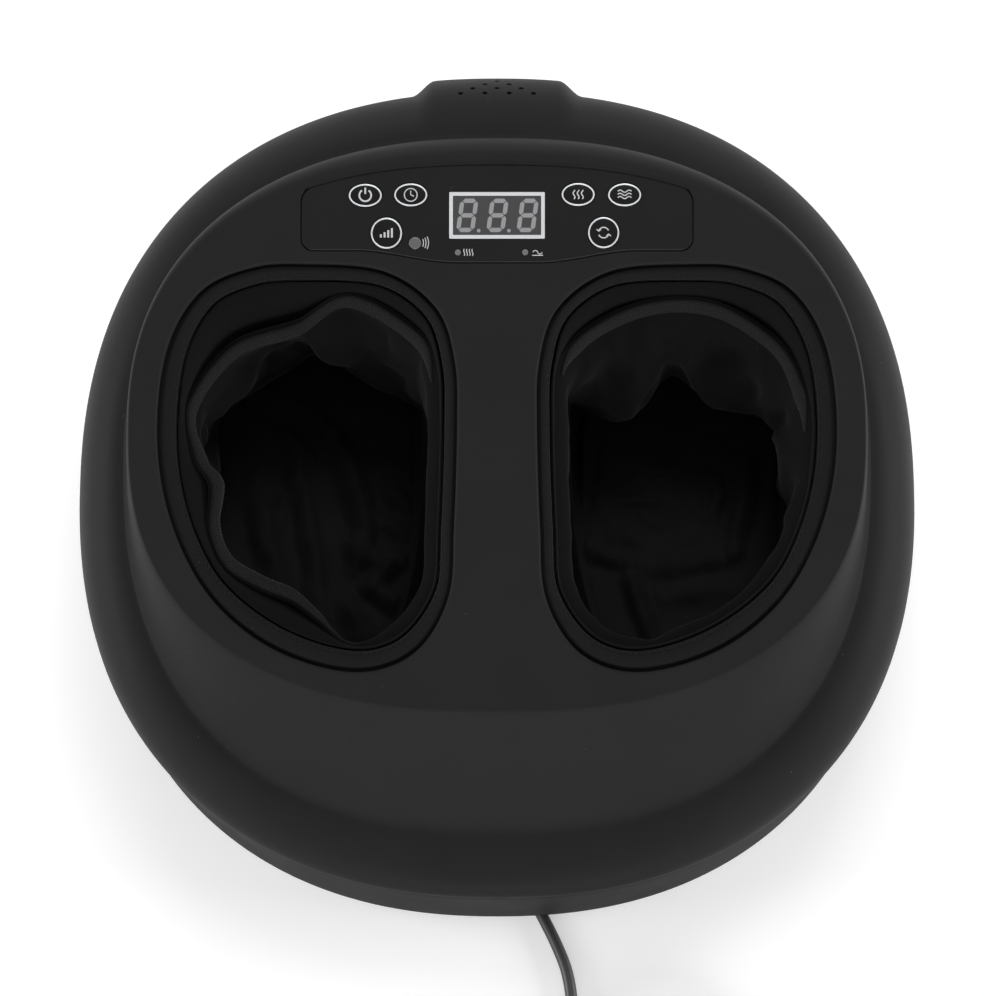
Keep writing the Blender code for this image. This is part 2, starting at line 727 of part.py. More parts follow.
def skin_tree(mesh):
    shape = bmesh.new()
    shape.from_mesh(mesh)
    bmesh.ops.triangulate(shape, faces=shape.faces)
    tree = BVHTree.FromBMesh(shape)
    shape.free()
    return tree


def screw_places():
    places = []
    for share_x, share_y in SCREW_PLACE_SHARES:
        reach = REAR_HALF if share_y > 0 else FRONT_HALF
        places.append((share_x * HALF_WIDTH, share_y * reach))
        places.append((-share_x * HALF_WIDTH, share_y * reach))
    return places


def post_to_skin(name, tree, place, radius, bottom, steps=ROUND_STEPS):
    """A post that reaches up into the wall above it, whatever its slope."""
    low = circle_points(radius, radius, bottom, steps, place)
    high = []
    for point in low:
        hit, normal, face, distance = tree.ray_cast(point, Vector((0, 0, 1)))
        high.append(Vector((point.x, point.y, hit.z - WALL / 3 / max(abs(normal.z), 0.3))))
    return lofted(name, [low, high])


def well_outline(side, inset_share_widths=0.0, inset=0.0):
    """The edge of a foot well in the deck's axes, moved inwards by a width that is larger on its
    outer side, plus a plain inset."""
    corners = [(side * (WELL_CENTRE_X + u * WELL_HALF_WIDTH), WELL_CENTRE_S + v * WELL_HALF_LENGTH)
               for u, v in WELL_OUTLINE_SHARES]
    points = evenly(spline_points(corners, 8, True), WELL_STEPS, True)
    distances = []
    for point in points:
        outer_share = (abs(point.x) - WELL_CENTRE_X) / WELL_HALF_WIDTH
        widening = 1 + COLLAR_OUTER_SHARE * outer_share
        distances.append(inset_share_widths * widening + inset)
    return offset_outline(points, distances)


def panel_outline(inset):
    """The panel's edge in the deck's axes: its top follows the deck edge, its bottom dips."""
    half = PANEL_HALF_WIDTH - inset
    corner = PANEL_CORNER
    stations = [half - corner + corner * math.sin(math.radians(a)) for a in (90, 67.5, 45, 22.5)]
    flat = half - corner
    stations += [flat - 2 * flat * step / PANEL_STEPS for step in range(PANEL_STEPS + 1)]
    stations += [-x for x in reversed(stations[:4])]
    top = []
    bottom = []
    for x in stations:
        beyond = max(abs(x) - flat, 0.0)
        drop = corner - math.sqrt(max(corner ** 2 - beyond ** 2, 0.0))
        top.append(Vector((x, panel_top(x) - inset - drop)))
        bottom.append(Vector((x, panel_bottom(x) + inset + drop)))
    return top + bottom[::-1]


def panel_top(x):
    """How far up the slope the panel reaches: a margin below the rear edge of the deck."""
    edge = 1 - abs(x / DECK_HALF_WIDTH) ** DECK_POWER_SHARE
    return DECK_CENTRE_S + DECK_HALF_LENGTH * edge ** (1 / DECK_POWER_SHARE) - PANEL_TOP_MARGIN


def panel_bottom(x):
    side_share = ease(PANEL_DIP_SHARES[0], PANEL_DIP_SHARES[1], abs(x) / PANEL_HALF_WIDTH)
    return PANEL_MIDDLE_S + (PANEL_SIDE_S - PANEL_MIDDLE_S) * side_share


def make_top_cover(parts, deck):
    """The upper shell: skin given its wall, then its tongue, wells, panel seat, vents and posts."""
    mesh = cover_skin()
    tree = skin_tree(mesh)
    cover = link("top_cover", mesh, parts["housing"])
    wall = cover.modifiers.new("wall", "SOLIDIFY")
    wall.thickness = WALL
    wall.offset = -1.0
    wall.use_even_offset = True
    posts = [post_to_skin("post", tree, place, POST_RADIUS, TOWER_TOP + CLEARANCE)
             for place in screw_places()]
    add(cover, gathered("posts", [*posts, cover_tongue()]))
    bore_top = TOWER_TOP + SCREW_GRIP
    bores = [prism("bore", [(p.x, p.y) for p in circle_points(
        SCREW_RADIUS + CLEARANCE, SCREW_RADIUS + CLEARANCE, 0.0, ROUND_STEPS, place)],
        TOWER_TOP - OVERRUN, bore_top) for place in screw_places()]
    cut(cover, gathered("bores", bores))
    wells = [prism("well", [(p.x, p.y) for p in well_outline(side)], -4 * WALL, 4 * WALL)
             for side in (-1, 1)]
    cut(cover, gathered("wells", wells), deck)
    seat_depth = PANEL_SUNK + PANEL_THICK + CLEARANCE
    cut(cover, prism("panel_seat", [tuple(p) for p in panel_outline(-CLEARANCE)],
                     -seat_depth, OVERRUN), deck)
    cut(cover, prism("panel_window", [tuple(p) for p in panel_outline(PANEL_LEDGE)],
                     -4 * WALL, OVERRUN), deck)
    cut(cover, gathered("vents", vent_cutters()))
    return cover


def cover_tongue():
    """The rib round the cover's mouth that steps in from its wall and stands inside the pan's rim."""
    low = SEAM_HEIGHT + CLEARANCE
    inner = BASE_LIP_INSET + WALL + 2 * CLEARANCE
    section = ((WALL / 2, low), (inner, low), (inner, SEAM_HEIGHT - TONGUE_REACH),
               (inner + TONGUE_THICK, SEAM_HEIGHT - TONGUE_REACH),
               (inner + TONGUE_THICK, low + WALL / 2), (WALL / 2, low + WALL / 2))
    rings = [[Vector((*seam_point(angle, inset), height)) for angle in even_angles()]
             for inset, height in section]
    return lofted("tongue", rings, loop=True)


def vent_cutters():
    """Ten small holes in rows of four to one, square to the hump."""
    cutters = []
    quarter = math.pi / 2
    for count, degrees in zip(VENT_ROW_COUNTS, VENT_ROW_ANGLES):
        lower = shoulder_point(quarter, math.radians(degrees - 1))
        upper = shoulder_point(quarter, math.radians(degrees + 1))
        slope = (upper - lower).normalized()
        out = Vector((0.0, slope.z, -slope.y))
        centre = (lower + upper) / 2
        turn = Vector((0, 0, 1)).rotation_difference(out).to_matrix().to_4x4()
        for index in range(count):
            x = (index - (count - 1) / 2) * VENT_PITCH
            hole = prism("vent", [(p.x, p.y) for p in circle_points(
                VENT_RADIUS, VENT_RADIUS, 0.0, VENT_SIDES)], -2 * WALL, 2 * WALL)
            place = Matrix.Translation(centre + Vector((x, 0, 0)))
            cutters.append(moved(hole, place @ turn))
    return cutters


def make_base_pan(parts):
    """The lower shell: a tray with screw towers, bosses, saddles and pillars."""

    def ring(inset, height):
        return [Vector((*seam_point(angle, inset), height)) for angle in even_angles()]

    top = SEAM_HEIGHT - SEAM_GAP
    outer = BASE_LIP_INSET + BASE_TAPER
    edge = BASE_EDGE
    rings = [
        ring(outer + edge, FOOT_HEIGHT),
        ring(outer + edge * 0.3, FOOT_HEIGHT + edge * 0.3),
        ring(outer, FOOT_HEIGHT + edge),
        ring(BASE_LIP_INSET, top),
        ring(BASE_LIP_INSET + WALL, top),
        ring(outer + WALL, FLOOR_TOP + edge),
        ring(outer + WALL + edge, FLOOR_TOP),
    ]
    pan = link("base_pan", lofted("base_pan", rings), parts["base"])
    solids = []
    hollows = []
    for place in screw_places():
        solids.append(round_prism("tower", place, TOWER_RADIUS, FOOT_HEIGHT + WALL / 2, TOWER_TOP))
        seat = TOWER_TOP - TOWER_SEAT
        room = SCREW_HEAD_RADIUS + CLEARANCE
        hole = SCREW_RADIUS + CLEARANCE
        stepped = turned("screw_hole", ((room, FOOT_HEIGHT - OVERRUN), (room, seat), (hole, seat),
                                        (hole, TOWER_TOP + OVERRUN)))
        hollows.append(moved(stepped, Matrix.Translation((*place, 0.0))))
    for x, y in chassis_posts():
        solids.append(round_prism("post", (x, y), POST_RADIUS, FOOT_HEIGHT + WALL / 2,
                                  CHASSIS_BOTTOM - CLEARANCE))
    for x, y in spindle_places():
        solids.append(round_prism("boss", (x, y), BOSS_RADIUS, FOOT_HEIGHT + WALL / 2, BOSS_TOP))
        hollows.append(round_prism("boss_bore", (x, y), running_bore(SPINDLE_RADIUS),
                                   SPINDLE_FOOT - CLEARANCE, BOSS_TOP + OVERRUN))
    for x in (-SADDLE_X, SADDLE_X):
        half = SADDLE_WIDTH / 2
        solids.append(block("saddle", (x - half, DRIVE_Y - MOTOR_RADIUS, FOOT_HEIGHT + WALL / 2),
                            (x + half, DRIVE_Y + MOTOR_RADIUS, DRIVE_Z - SADDLE_WIDTH)))
    for x, y in board_pillars():
        solids.append(round_prism("pillar", (x, y), BOARD_PILLAR_RADIUS, FOOT_HEIGHT + WALL / 2,
                                  POWER_BOARD_Z - CLEARANCE))
    solids.append(plinth())
    solids.append(cable_room(WALL, FOOT_HEIGHT + WALL / 2))
    add(pan, gathered("stands", solids))
    motor_bed = MOTOR_RADIUS + CLEARANCE
    bed = along_x(turned("bed", ((motor_bed, -MOTOR_LENGTH / 2), (motor_bed, MOTOR_LENGTH / 2)),
                         MOTOR_STEPS))
    hollows.append(moved(bed, Matrix.Translation((0, DRIVE_Y, DRIVE_Z))))
    cut(pan, gathered("hollows", hollows))
    cut(pan, cable_room(0.0, FOOT_HEIGHT - PLINTH_DROP - OVERRUN))
    slot_x = (RELIEF_X + CORD_EXIT_X) / 2
    cut(pan, block("cable_slot", (slot_x - CABLE_SLOT_HALF_WIDTH, -FRONT_HALF - OVERRUN,
                                  FOOT_HEIGHT - PLINTH_DROP - OVERRUN),
                   (slot_x + CABLE_SLOT_HALF_WIDTH, -FRONT_HALF + BASE_EDGE + BASE_TAPER
                    + PLINTH_LENGTH + OVERRUN, FOOT_HEIGHT)))
    neck = turned("relief_hole", ((RELIEF_ROOT_RADIUS + CLEARANCE, -2 * WALL),
                                  (RELIEF_ROOT_RADIUS + CLEARANCE, 3 * WALL)), RELIEF_STEPS)
    cut(pan, moved(neck, relief_frame()))
    return pan


def running_bore(radius):
    """The corner radius of a many-sided bore whose flats clear a shaft that turns in it."""
    return (radius + CLEARANCE) / math.cos(math.pi / ROUND_STEPS)


def round_prism(name, place, radius, bottom, top, steps=ROUND_STEPS):
    outline = [(p.x, p.y) for p in circle_points(radius, radius, 0.0, steps, place)]
    return prism(name, outline, bottom, top)


def plinth():
    """A shallow skirt under the middle of the front edge, which the lead passes through."""
    front = []
    inset = BASE_LIP_INSET + BASE_TAPER + BASE_EDGE * 0.5
    for angle in even_angles():
        point = seam_point(angle, inset)
        if point.y < 0 and abs(point.x) < PLINTH_HALF_WIDTH:
            front.append(point)
    front.sort(key=lambda point: point.x)
    back = front[0].y + PLINTH_LENGTH
    outline = [tuple(point) for point in front]
    outline += [(front[-1].x, back), (front[0].x, back)]
    return prism("plinth", outline, FOOT_HEIGHT - PLINTH_DROP, FOOT_HEIGHT + WALL / 2)


def cable_room(wall, bottom):
    """The room under the floor where the lead enters, or the raised walls around it."""
    rear = RELIEF_Y
    low = (RELIEF_X - CABLE_ROOM_HALF_WIDTH - wall, rear - CABLE_ROOM_LENGTH - wall, bottom)
    high = (RELIEF_X + CABLE_ROOM_HALF_WIDTH + wall, rear + wall,
            FOOT_HEIGHT + CABLE_ROOM_HEIGHT + wall)
    return block("cable_room", low, high)


def chassis_posts():
    length = CHASSIS_REAR_Y - CHASSIS_FRONT_Y
    return [(side * across * CHASSIS_HALF_WIDTH, CHASSIS_FRONT_Y + along * length)
            for across, along in CHASSIS_POST_SHARES for side in (-1, 1)]


def centre_distance():
    return MODULE * WHEEL_TEETH / 2 + WORM_PITCH_RADIUS


def spindle_places():
    return [(side * DRIVE_X, DRIVE_Y + way * centre_distance())
            for side in (-1, 1) for way in (1, -1)]


def board_pillars():
    inset = BOARD_PILLAR_INSET
    x = POWER_BOARD_HALF_WIDTH - inset
    return [(side * x, y) for side in (-1, 1)
            for y in (POWER_BOARD_Y[0] + inset, POWER_BOARD_Y[1] - inset)]


def make_feet(parts):
    profile = ((FOOT_RADIUS * 0.85, 0.0), (FOOT_RADIUS, FOOT_HEIGHT * 0.25),
               (FOOT_RADIUS, FOOT_HEIGHT - CLEARANCE))
    mesh = turned("foot", profile, 14)
    names = ("rear_right_foot", "rear_left_foot", "front_right_foot", "front_left_foot")
    for name, (share_x, share_y) in zip(names, FOOT_PLACE_SHARES):
        foot = link(name, mesh.copy(), parts["rubber"])
        reach = REAR_HALF if share_y > 0 else FRONT_HALF
        foot.location = (share_x * HALF_WIDTH, share_y * reach, 0.0)


def make_screws(parts):
    """Pan-head screws, driven up through the towers into the cover's posts."""
    seat = TOWER_TOP - TOWER_SEAT - CLEARANCE
    profile = ((SCREW_HEAD_RADIUS * 0.7, seat - SCREW_HEAD_HEIGHT),
               (SCREW_HEAD_RADIUS, seat - SCREW_HEAD_HEIGHT * 0.5), (SCREW_HEAD_RADIUS, seat),
               (SCREW_RADIUS, seat), (SCREW_RADIUS, TOWER_TOP + SCREW_GRIP - OVERRUN))
    mesh = turned("screw", profile, 8)
    for index, (x, y) in enumerate(screw_places()):
        screw = link("housing_screw_%d" % (index + 1), mesh.copy(), parts["steel"])
        screw.location = (x, y, 0.0)


def make_collars(parts, deck):
    """Padded rings that line the wells, held by a flange under the deck."""
    base = -COLLAR_SUNK
    widths = COLLAR_WIDTH
    under = -WALL - CLEARANCE
    flange_low = under - COLLAR_FLANGE_THICK
    inner = -COLLAR_DEPTH
    profile = (
        (0.0, COLLAR_GAP, base - COLLAR_PAD * 0.4), (0.45, COLLAR_GAP, base),
        (1.0, COLLAR_GAP, base - COLLAR_PAD), (1.0, COLLAR_GAP, inner),
        (0.65, COLLAR_GAP, inner), (0.65, COLLAR_GAP, flange_low),
        (0.0, -COLLAR_FLANGE, flange_low), (0.0, -COLLAR_FLANGE, under), (0.0, COLLAR_GAP, under))
    for name, side in (("left_collar", -1), ("right_collar", 1)):
        rings = []
        for share, inset, height in profile:
            outline = well_outline(side, share * widths, inset)
            rings.append([Vector((p.x, p.y, height)) for p in outline])
        link(name, lofted(name, rings, loop=True), parts["fabric"], deck)


def pouch_neck(side):
    """The pouch's outer edge in the deck's axes, just inside the collar."""
    return well_outline(side, COLLAR_WIDTH, COLLAR_GAP + POUCH_GAP)


def pouch_bed(side, index, inset, height):
    """The point of the foot bed that faces a point of the neck."""
    point = well_outline(side)[index] if isinstance(index, int) else index
    u = (side * point.x - WELL_CENTRE_X) / WELL_HALF_WIDTH
    v = (point.y - WELL_CENTRE_S) / WELL_HALF_LENGTH
    angle = math.atan2(v, u)
    front = deck_point(0.0, WELL_FRONT_S).y + POUCH_BED_FRONT_INSET
    rear = CHASSIS_REAR_Y + POUCH_BED_REAR_REACH
    length = (rear - front) / 2 - inset
    place = superellipse(angle, WELL_HALF_WIDTH - POUCH_BED_SIDE_INSET - inset, length, length,
                         POUCH_BED_POWER_SHARE, (front + rear) / 2)
    return Vector((side * (WELL_CENTRE_X + POUCH_BED_SHIFT + place.x), place.y, height))


def pouch_rings(side):
    """Rings of the pouch's outer face, from the neck down to the sole."""
    neck = pouch_neck(side)
    edge = well_outline(side)
    top = [deck_point(p.x, p.y, -COLLAR_SUNK - COLLAR_PAD) for p in neck]
    low = [deck_point(p.x, p.y, -POUCH_NECK) for p in neck]
    wide = [pouch_bed(side, p, 0.0, SOLE_HEIGHT + POUCH_SIDE_HEIGHT) for p in edge]
    rings = [top]
    for step in range(POUCH_SLOPE_STEPS + 1):
        share = step / POUCH_SLOPE_STEPS
        rings.append([a.lerp(b, share) for a, b in zip(low, wide)])
    fillet = POUCH_SOLE_FILLET
    rings.append([pouch_bed(side, p, 0.0, SOLE_HEIGHT + fillet) for p in edge])
    rings.append([pouch_bed(side, p, fillet * 0.3, SOLE_HEIGHT + fillet * 0.3) for p in edge])
    rings.append([pouch_bed(side, p, fillet, SOLE_HEIGHT) for p in edge])
    return rings


def make_pouches(parts):
    for name, side in (("left_pouch", -1), ("right_pouch", 1)):
        rings = pouch_rings(side)
        faces = ring_faces(len(rings), WELL_STEPS, caps=False)
        faces.append(tuple(range((len(rings) - 1) * WELL_STEPS, len(rings) * WELL_STEPS)))
        if side > 0:
            faces = [face[::-1] for face in faces]
        mesh = bpy.data.meshes.new(name)
        mesh.from_pydata([tuple(point) for ring in rings for point in ring], [], faces)
        mesh.shade_smooth()
        pouch = link(name, mesh, parts["fabric"])
        wall = pouch.modifiers.new("wall", "SOLIDIFY")
        wall.thickness = POUCH_WALL
        wall.offset = -1.0


def bag_grids(side):
    """Points under and over an air bag: columns across the toes, rows down the pouch's slope."""
    neck = pouch_neck(side)
    edge = well_outline(side)
    low = [deck_point(p.x, p.y, -POUCH_NECK) for p in neck]
    wide = [pouch_bed(side, p, 0.0, SOLE_HEIGHT + POUCH_SIDE_HEIGHT) for p in edge]
    columns = []
    for index, point in enumerate(edge):
        angle = math.degrees(math.atan2((point.y - WELL_CENTRE_S) / WELL_HALF_LENGTH,
                                        (side * point.x - WELL_CENTRE_X) / WELL_HALF_WIDTH))
        if BAG_ARC_DEGREES[0] < angle < BAG_ARC_DEGREES[1]:
            columns.append((angle, index))
    columns.sort()
    under = []
    over = []
    for column, (angle, index) in enumerate(columns):
        after = (index + 1) % WELL_STEPS
        before = index - 1
        u = 2 * column / (len(columns) - 1) - 1
        for row, share in enumerate(BAG_SLOPE_SHARES):
            v = 2 * row / (len(BAG_SLOPE_SHARES) - 1) - 1
            place = low[index].lerp(wide[index], share)
            across = low[after].lerp(wide[after], share) - low[before].lerp(wide[before], share)
            normal = across.cross(wide[index] - low[index]).normalized()
            if normal.z < 0:
                normal.negate()
            swell = BAG_EDGE + (BAG_THICK - BAG_EDGE) * (1 - u ** 4) * (1 - v ** 4)
            under.append(place + normal * BAG_GAP)
            over.append(place + normal * (BAG_GAP + swell))
    return under, over


def make_air_bags(parts):
    """A flat bag that lies on the slope of each pouch over the toes."""
    rows = len(BAG_SLOPE_SHARES)
    for name, side in (("left_air_bag", -1), ("right_air_bag", 1)):
        under, over = bag_grids(side)
        link(name, quilt(name, under, over, len(under) // rows, rows), parts["bag"])


def quilt(name, under, over, columns, rows):
    """A closed pillow between two grids of points."""
    count = columns * rows
    faces = []
    for column in range(columns - 1):
        for row in range(rows - 1):
            a = column * rows + row
            corners = (a, a + 1, a + rows + 1, a + rows)
            faces.append(corners)
            faces.append(tuple(corner + count for corner in reversed(corners)))
    rim = [column * rows for column in range(columns)]
    rim += [(columns - 1) * rows + row for row in range(1, rows)]
    rim += [column * rows + rows - 1 for column in range(columns - 2, -1, -1)]
    rim += list(range(rows - 2, 0, -1))
    for here, there in zip(rim, rim[1:] + rim[:1]):
        faces.append((here, there, there + count, here + count))
    return solid_mesh(name, under + over, faces)


def make_chassis(parts):
    """The tray over the drive: bushes for the spindles, heater stands and the pump cradle."""
    outline = rounded_rectangle((-CHASSIS_HALF_WIDTH, CHASSIS_FRONT_Y),
                                (CHASSIS_HALF_WIDTH, CHASSIS_REAR_Y), CHASSIS_CORNER, 6)
    chassis = link("chassis", prism("chassis", outline, CHASSIS_BOTTOM, CHASSIS_TOP), parts["frame"])
    solids = []
    hollows = []
    inside = (CHASSIS_TOP + CHASSIS_BOTTOM) / 2
    for x, y in spindle_places():
        solids.append(round_prism("bush", (x, y), BOSS_RADIUS, CHASSIS_BOTTOM - CHASSIS_BUSH_DROP,
                                  inside))
        hollows.append(round_prism("bush_bore", (x, y), running_bore(SPINDLE_RADIUS),
                                   CHASSIS_BOTTOM - CHASSIS_BUSH_DROP - OVERRUN,
                                   CHASSIS_TOP + OVERRUN))
    heater_top = heater_bottom() - CLEARANCE
    for side in (-1, 1):
        x = side * DRIVE_X
        solids.append(block("heater_stand", (x - HEATER_HALF_WIDTH * 0.7,
                                             HEATER_Y - HEATER_HALF_LENGTH * 0.6, inside),
                            (x + HEATER_HALF_WIDTH * 0.7, HEATER_Y + HEATER_HALF_LENGTH * 0.6,
                             heater_top)))
    for y in (PUMP_Y - PUMP_LENGTH * 0.3, PUMP_Y + PUMP_LENGTH * 0.3):
        solids.append(block("cradle", (-PUMP_RADIUS, y - WALL, inside),
                            (PUMP_RADIUS, y + WALL, pump_z() - PUMP_RADIUS * 0.4)))
    add(chassis, gathered("stands", solids))
    bed = PUMP_RADIUS + CLEARANCE
    round_bed = along_y(turned("pump_bed", ((bed, -PUMP_LENGTH), (bed, PUMP_LENGTH)), PUMP_STEPS))
    hollows.append(moved(round_bed, Matrix.Translation((0, PUMP_Y, pump_z()))))
    cut(chassis, gathered("bores", hollows))


def heater_bottom():
    return SOLE_HEIGHT - CLEARANCE - HEATER_THICK


def pump_z():
    return CHASSIS_TOP + PUMP_LIFT + PUMP_RADIUS


def make_motor(parts):
    """A double-ended motor: a can with a stepped bell at each end, open along its shaft."""
    half = MOTOR_LENGTH / 2
    bore = SHAFT_RADIUS + CLEARANCE
    bell = MOTOR_RADIUS * 0.42
    profile = ((bore, -half), (bell, -half), (bell, -half + MOTOR_BELL * 0.6),
               (MOTOR_RADIUS * 0.93, -half + MOTOR_BELL * 0.6), (MOTOR_RADIUS, -half + MOTOR_BELL),
               (MOTOR_RADIUS, half - MOTOR_BELL), (MOTOR_RADIUS * 0.93, half - MOTOR_BELL * 0.6),
               (bell, half - MOTOR_BELL * 0.6), (bell, half), (bore, half))
    motor = link("drive_motor", along_x(turned("drive_motor", profile, MOTOR_STEPS, loop=True)),
                 parts["steel"])
    motor.location = (0, DRIVE_Y, DRIVE_Z)


def worm_thread(centre_x):
    """One right-hand thread: a trapezoid swept along a helix and closed at both ends."""
    pitch = math.pi * MODULE
    lead = pitch / (2 * math.pi)
    count = round(WORM_TURNS * WORM_STEPS)
    tip = WORM_PITCH_RADIUS + TOOTH_HEIGHT
    root = WORM_ROOT_RADIUS - TOOTH_HEIGHT
    widest = (WORM_PITCH_RADIUS - root) * (ROOT_SHARE - TIP_SHARE) / (TOOTH_ROOT_DEPTH + TOOTH_HEIGHT)
    middle_share = (ROOT_SHARE + TIP_SHARE) / 2
    section = ((-(middle_share + widest) / 2, root), (-TIP_SHARE / 2, tip), (TIP_SHARE / 2, tip),
               ((middle_share + widest) / 2, root))
    rings = []
    for step in range(count + 1):
        angle = 2 * math.pi * (step - count // 2 + 0.5) / WORM_STEPS
        ring = []
        for share, radius in section:
            ring.append(Vector((centre_x + lead * angle + share * pitch,
                                radius * math.cos(angle), radius * math.sin(angle))))
        rings.append(ring)
    return lofted("thread", rings)


def make_worm_shaft(parts):
    """The motor's own shaft, with a worm cut on each arm and a journal at each end."""
    reach = math.pi * MODULE * WORM_TURNS / 2 + MODULE * 2
    end = BEARING_X + BEARING_WIDTH / 2 + CLEARANCE
    right = ((SHAFT_RADIUS, DRIVE_X - reach), (WORM_ROOT_RADIUS, DRIVE_X - reach),
             (WORM_ROOT_RADIUS, DRIVE_X + reach), (SHAFT_RADIUS, DRIVE_X + reach),
             (SHAFT_RADIUS, end))
    profile = [(radius, -x) for radius, x in reversed(right)] + list(right)
    shaft = link("worm_shaft", along_x(turned("worm_shaft", profile, WORM_STEPS)), parts["steel"])
    shaft.location = (0, DRIVE_Y, DRIVE_Z)
    threads = gathered("threads", [worm_thread(-DRIVE_X), worm_thread(DRIVE_X)])
    add(shaft, threads, shaft)


def make_bearings(parts):
    """Bearing blocks for the two ends of the worm shaft, standing on the pan."""
    low = FLOOR_TOP + CLEARANCE - DRIVE_Z
    half = BEARING_HALF_DEPTH
    outline = [(half, low)]
    for step in range(7):
        angle = math.pi * step / 6
        outline.append((half * math.cos(angle), half * math.sin(angle)))
    outline.append((-half, low))
    for name, side in (("left_bearing", -1), ("right_bearing", 1)):
        mesh = along_x(prism(name, outline, -BEARING_WIDTH / 2, BEARING_WIDTH / 2))
        block_piece = link(name, mesh, parts["bearing"])
        block_piece.location = (side * BEARING_X, DRIVE_Y, DRIVE_Z)
        bore = running_bore(SHAFT_RADIUS)
        cut(block_piece, along_x(turned("bore", ((bore, -BEARING_WIDTH), (bore, BEARING_WIDTH)))),
            block_piece)


def wheel_outline(turn):
    """The toothed outline of a worm wheel; a gap faces -Y where turn is zero."""
    pitch_radius = MODULE * WHEEL_TEETH / 2
    step = 2 * math.pi / WHEEL_TEETH
    section = ((-ROOT_SHARE / 2, pitch_radius - TOOTH_ROOT_DEPTH),
               (-TIP_SHARE / 2, pitch_radius + TOOTH_HEIGHT),
               (TIP_SHARE / 2, pitch_radius + TOOTH_HEIGHT),
               (ROOT_SHARE / 2, pitch_radius - TOOTH_ROOT_DEPTH))
    points = []
    for tooth in range(WHEEL_TEETH):
        centre = -math.pi / 2 + (tooth + 0.5) * step + turn
        for share, radius in section:
            angle = centre + share * step
            points.append(Vector((radius * math.cos(angle), radius * math.sin(angle))))
    return points


def make_worm_wheels(parts):
    """Helical wheels with their spindles, on each side of each worm."""
    half = WHEEL_WIDTH / 2
    lead_slope = MODULE / (2 * WORM_PITCH_RADIUS)
    twist = lead_slope * half / (MODULE * WHEEL_TEETH / 2)
    low_hub = BOSS_TOP + CLEARANCE - DRIVE_Z
    high_hub = CHASSIS_BOTTOM - CHASSIS_BUSH_DROP - CLEARANCE - DRIVE_Z
    spindle_top = head_bottom() + HEAD_SOCKET - CLEARANCE - DRIVE_Z
    profile = ((SPINDLE_RADIUS, SPINDLE_FOOT - DRIVE_Z), (SPINDLE_RADIUS, low_hub),
               (HUB_RADIUS, low_hub), (HUB_RADIUS, high_hub), (SPINDLE_RADIUS, high_hub),
               (SPINDLE_RADIUS, spindle_top))
    names = ("left_rear_wheel", "left_front_wheel", "right_rear_wheel", "right_front_wheel")
    for name, (x, y) in zip(names, spindle_places()):
        rings = [[Vector((p.x, p.y, height)) for p in wheel_outline(turn)]
                 for height, turn in ((-half, -twist), (half, twist))]
        wheel = link(name, lofted(name, rings), parts["gear"])
        wheel.location = (x, y, DRIVE_Z)
        if y < DRIVE_Y:
            wheel.rotation_euler.z = math.pi / WHEEL_TEETH
        add(wheel, turned("spindle", profile), wheel)


def head_bottom():
    return CHASSIS_TOP + 2 * CLEARANCE


def make_massage_heads(parts):
    """Kneading discs on the spindles, each with four domes that press up through the sole."""
    low = head_bottom()
    dome_top = SOLE_HEIGHT - 2 * CLEARANCE
    profile = ((HEAD_RADIUS - WALL / 2, low), (HEAD_RADIUS, low + WALL / 2),
               (HEAD_RADIUS, low + HEAD_DISC - WALL / 3), (HEAD_RADIUS - WALL / 3, low + HEAD_DISC))
    dome_profile = [(DOME_RADIUS, low + HEAD_DISC - WALL / 2)]
    rise = dome_top - low - HEAD_DISC
    for step in range(3):
        angle = math.pi / 2 * step / 2
        dome_profile.append((DOME_RADIUS * math.cos(angle), low + HEAD_DISC + rise * math.sin(angle)))
    dome_profile[-1] = (0.0, dome_top)
    names = ("left_rear_head", "left_front_head", "right_rear_head", "right_front_head")
    for name, (x, y) in zip(names, spindle_places()):
        head = link(name, turned(name, profile, 16), parts["head"])
        head.location = (x, y, 0.0)
        domes = []
        for index in range(DOME_COUNT):
            angle = 2 * math.pi * index / DOME_COUNT + math.pi / 4
            place = (DOME_CIRCLE * math.cos(angle), DOME_CIRCLE * math.sin(angle), 0.0)
            domes.append(moved(turned("dome", dome_profile, 6), Matrix.Translation(place)))
        add(head, gathered("domes", domes), head)
        cut(head, turned("socket", ((SPINDLE_RADIUS + CLEARANCE, low - OVERRUN),
                                    (SPINDLE_RADIUS + CLEARANCE, low + HEAD_SOCKET))), head)


def make_heaters(parts):
    outline = rounded_rectangle((-HEATER_HALF_WIDTH, -HEATER_HALF_LENGTH),
                                (HEATER_HALF_WIDTH, HEATER_HALF_LENGTH), HEATER_CORNER, 4)
    for name, side in (("left_heater", -1), ("right_heater", 1)):
        heater = link(name, prism(name, outline, 0.0, HEATER_THICK), parts["aluminium"])
        heater.location = (side * DRIVE_X, HEATER_Y, heater_bottom())


def make_air_pump(parts):
    """A small diaphragm pump lying along Y: its motor can behind, its square head in front."""
    half = PUMP_LENGTH / 2
    profile = ((PUMP_RADIUS * 0.9, half), (PUMP_RADIUS, half - WALL / 2), (PUMP_RADIUS, -half))
    pump = link("air_pump", along_y(turned("air_pump", profile, PUMP_STEPS)), parts["steel"])
    pump.location = (0, PUMP_Y, pump_z())
    front = -half - PUMP_HEAD
    side = PUMP_HEAD_HALF
    head = block("head", (-side, front, -side), (side, -half + WALL, side))
    add(pump, head, pump)
    nozzle = along_y(turned("nozzle", ((NOZZLE_RADIUS, front - NOZZLE_LENGTH),
                                       (NOZZLE_RADIUS, front + WALL)), 12))
    add(pump, nozzle, pump)


def valve_front():
    """The y of the valve block's rear face, just in front of the pump's nozzle."""
    return PUMP_Y - PUMP_LENGTH / 2 - PUMP_HEAD - NOZZLE_LENGTH - CLEARANCE


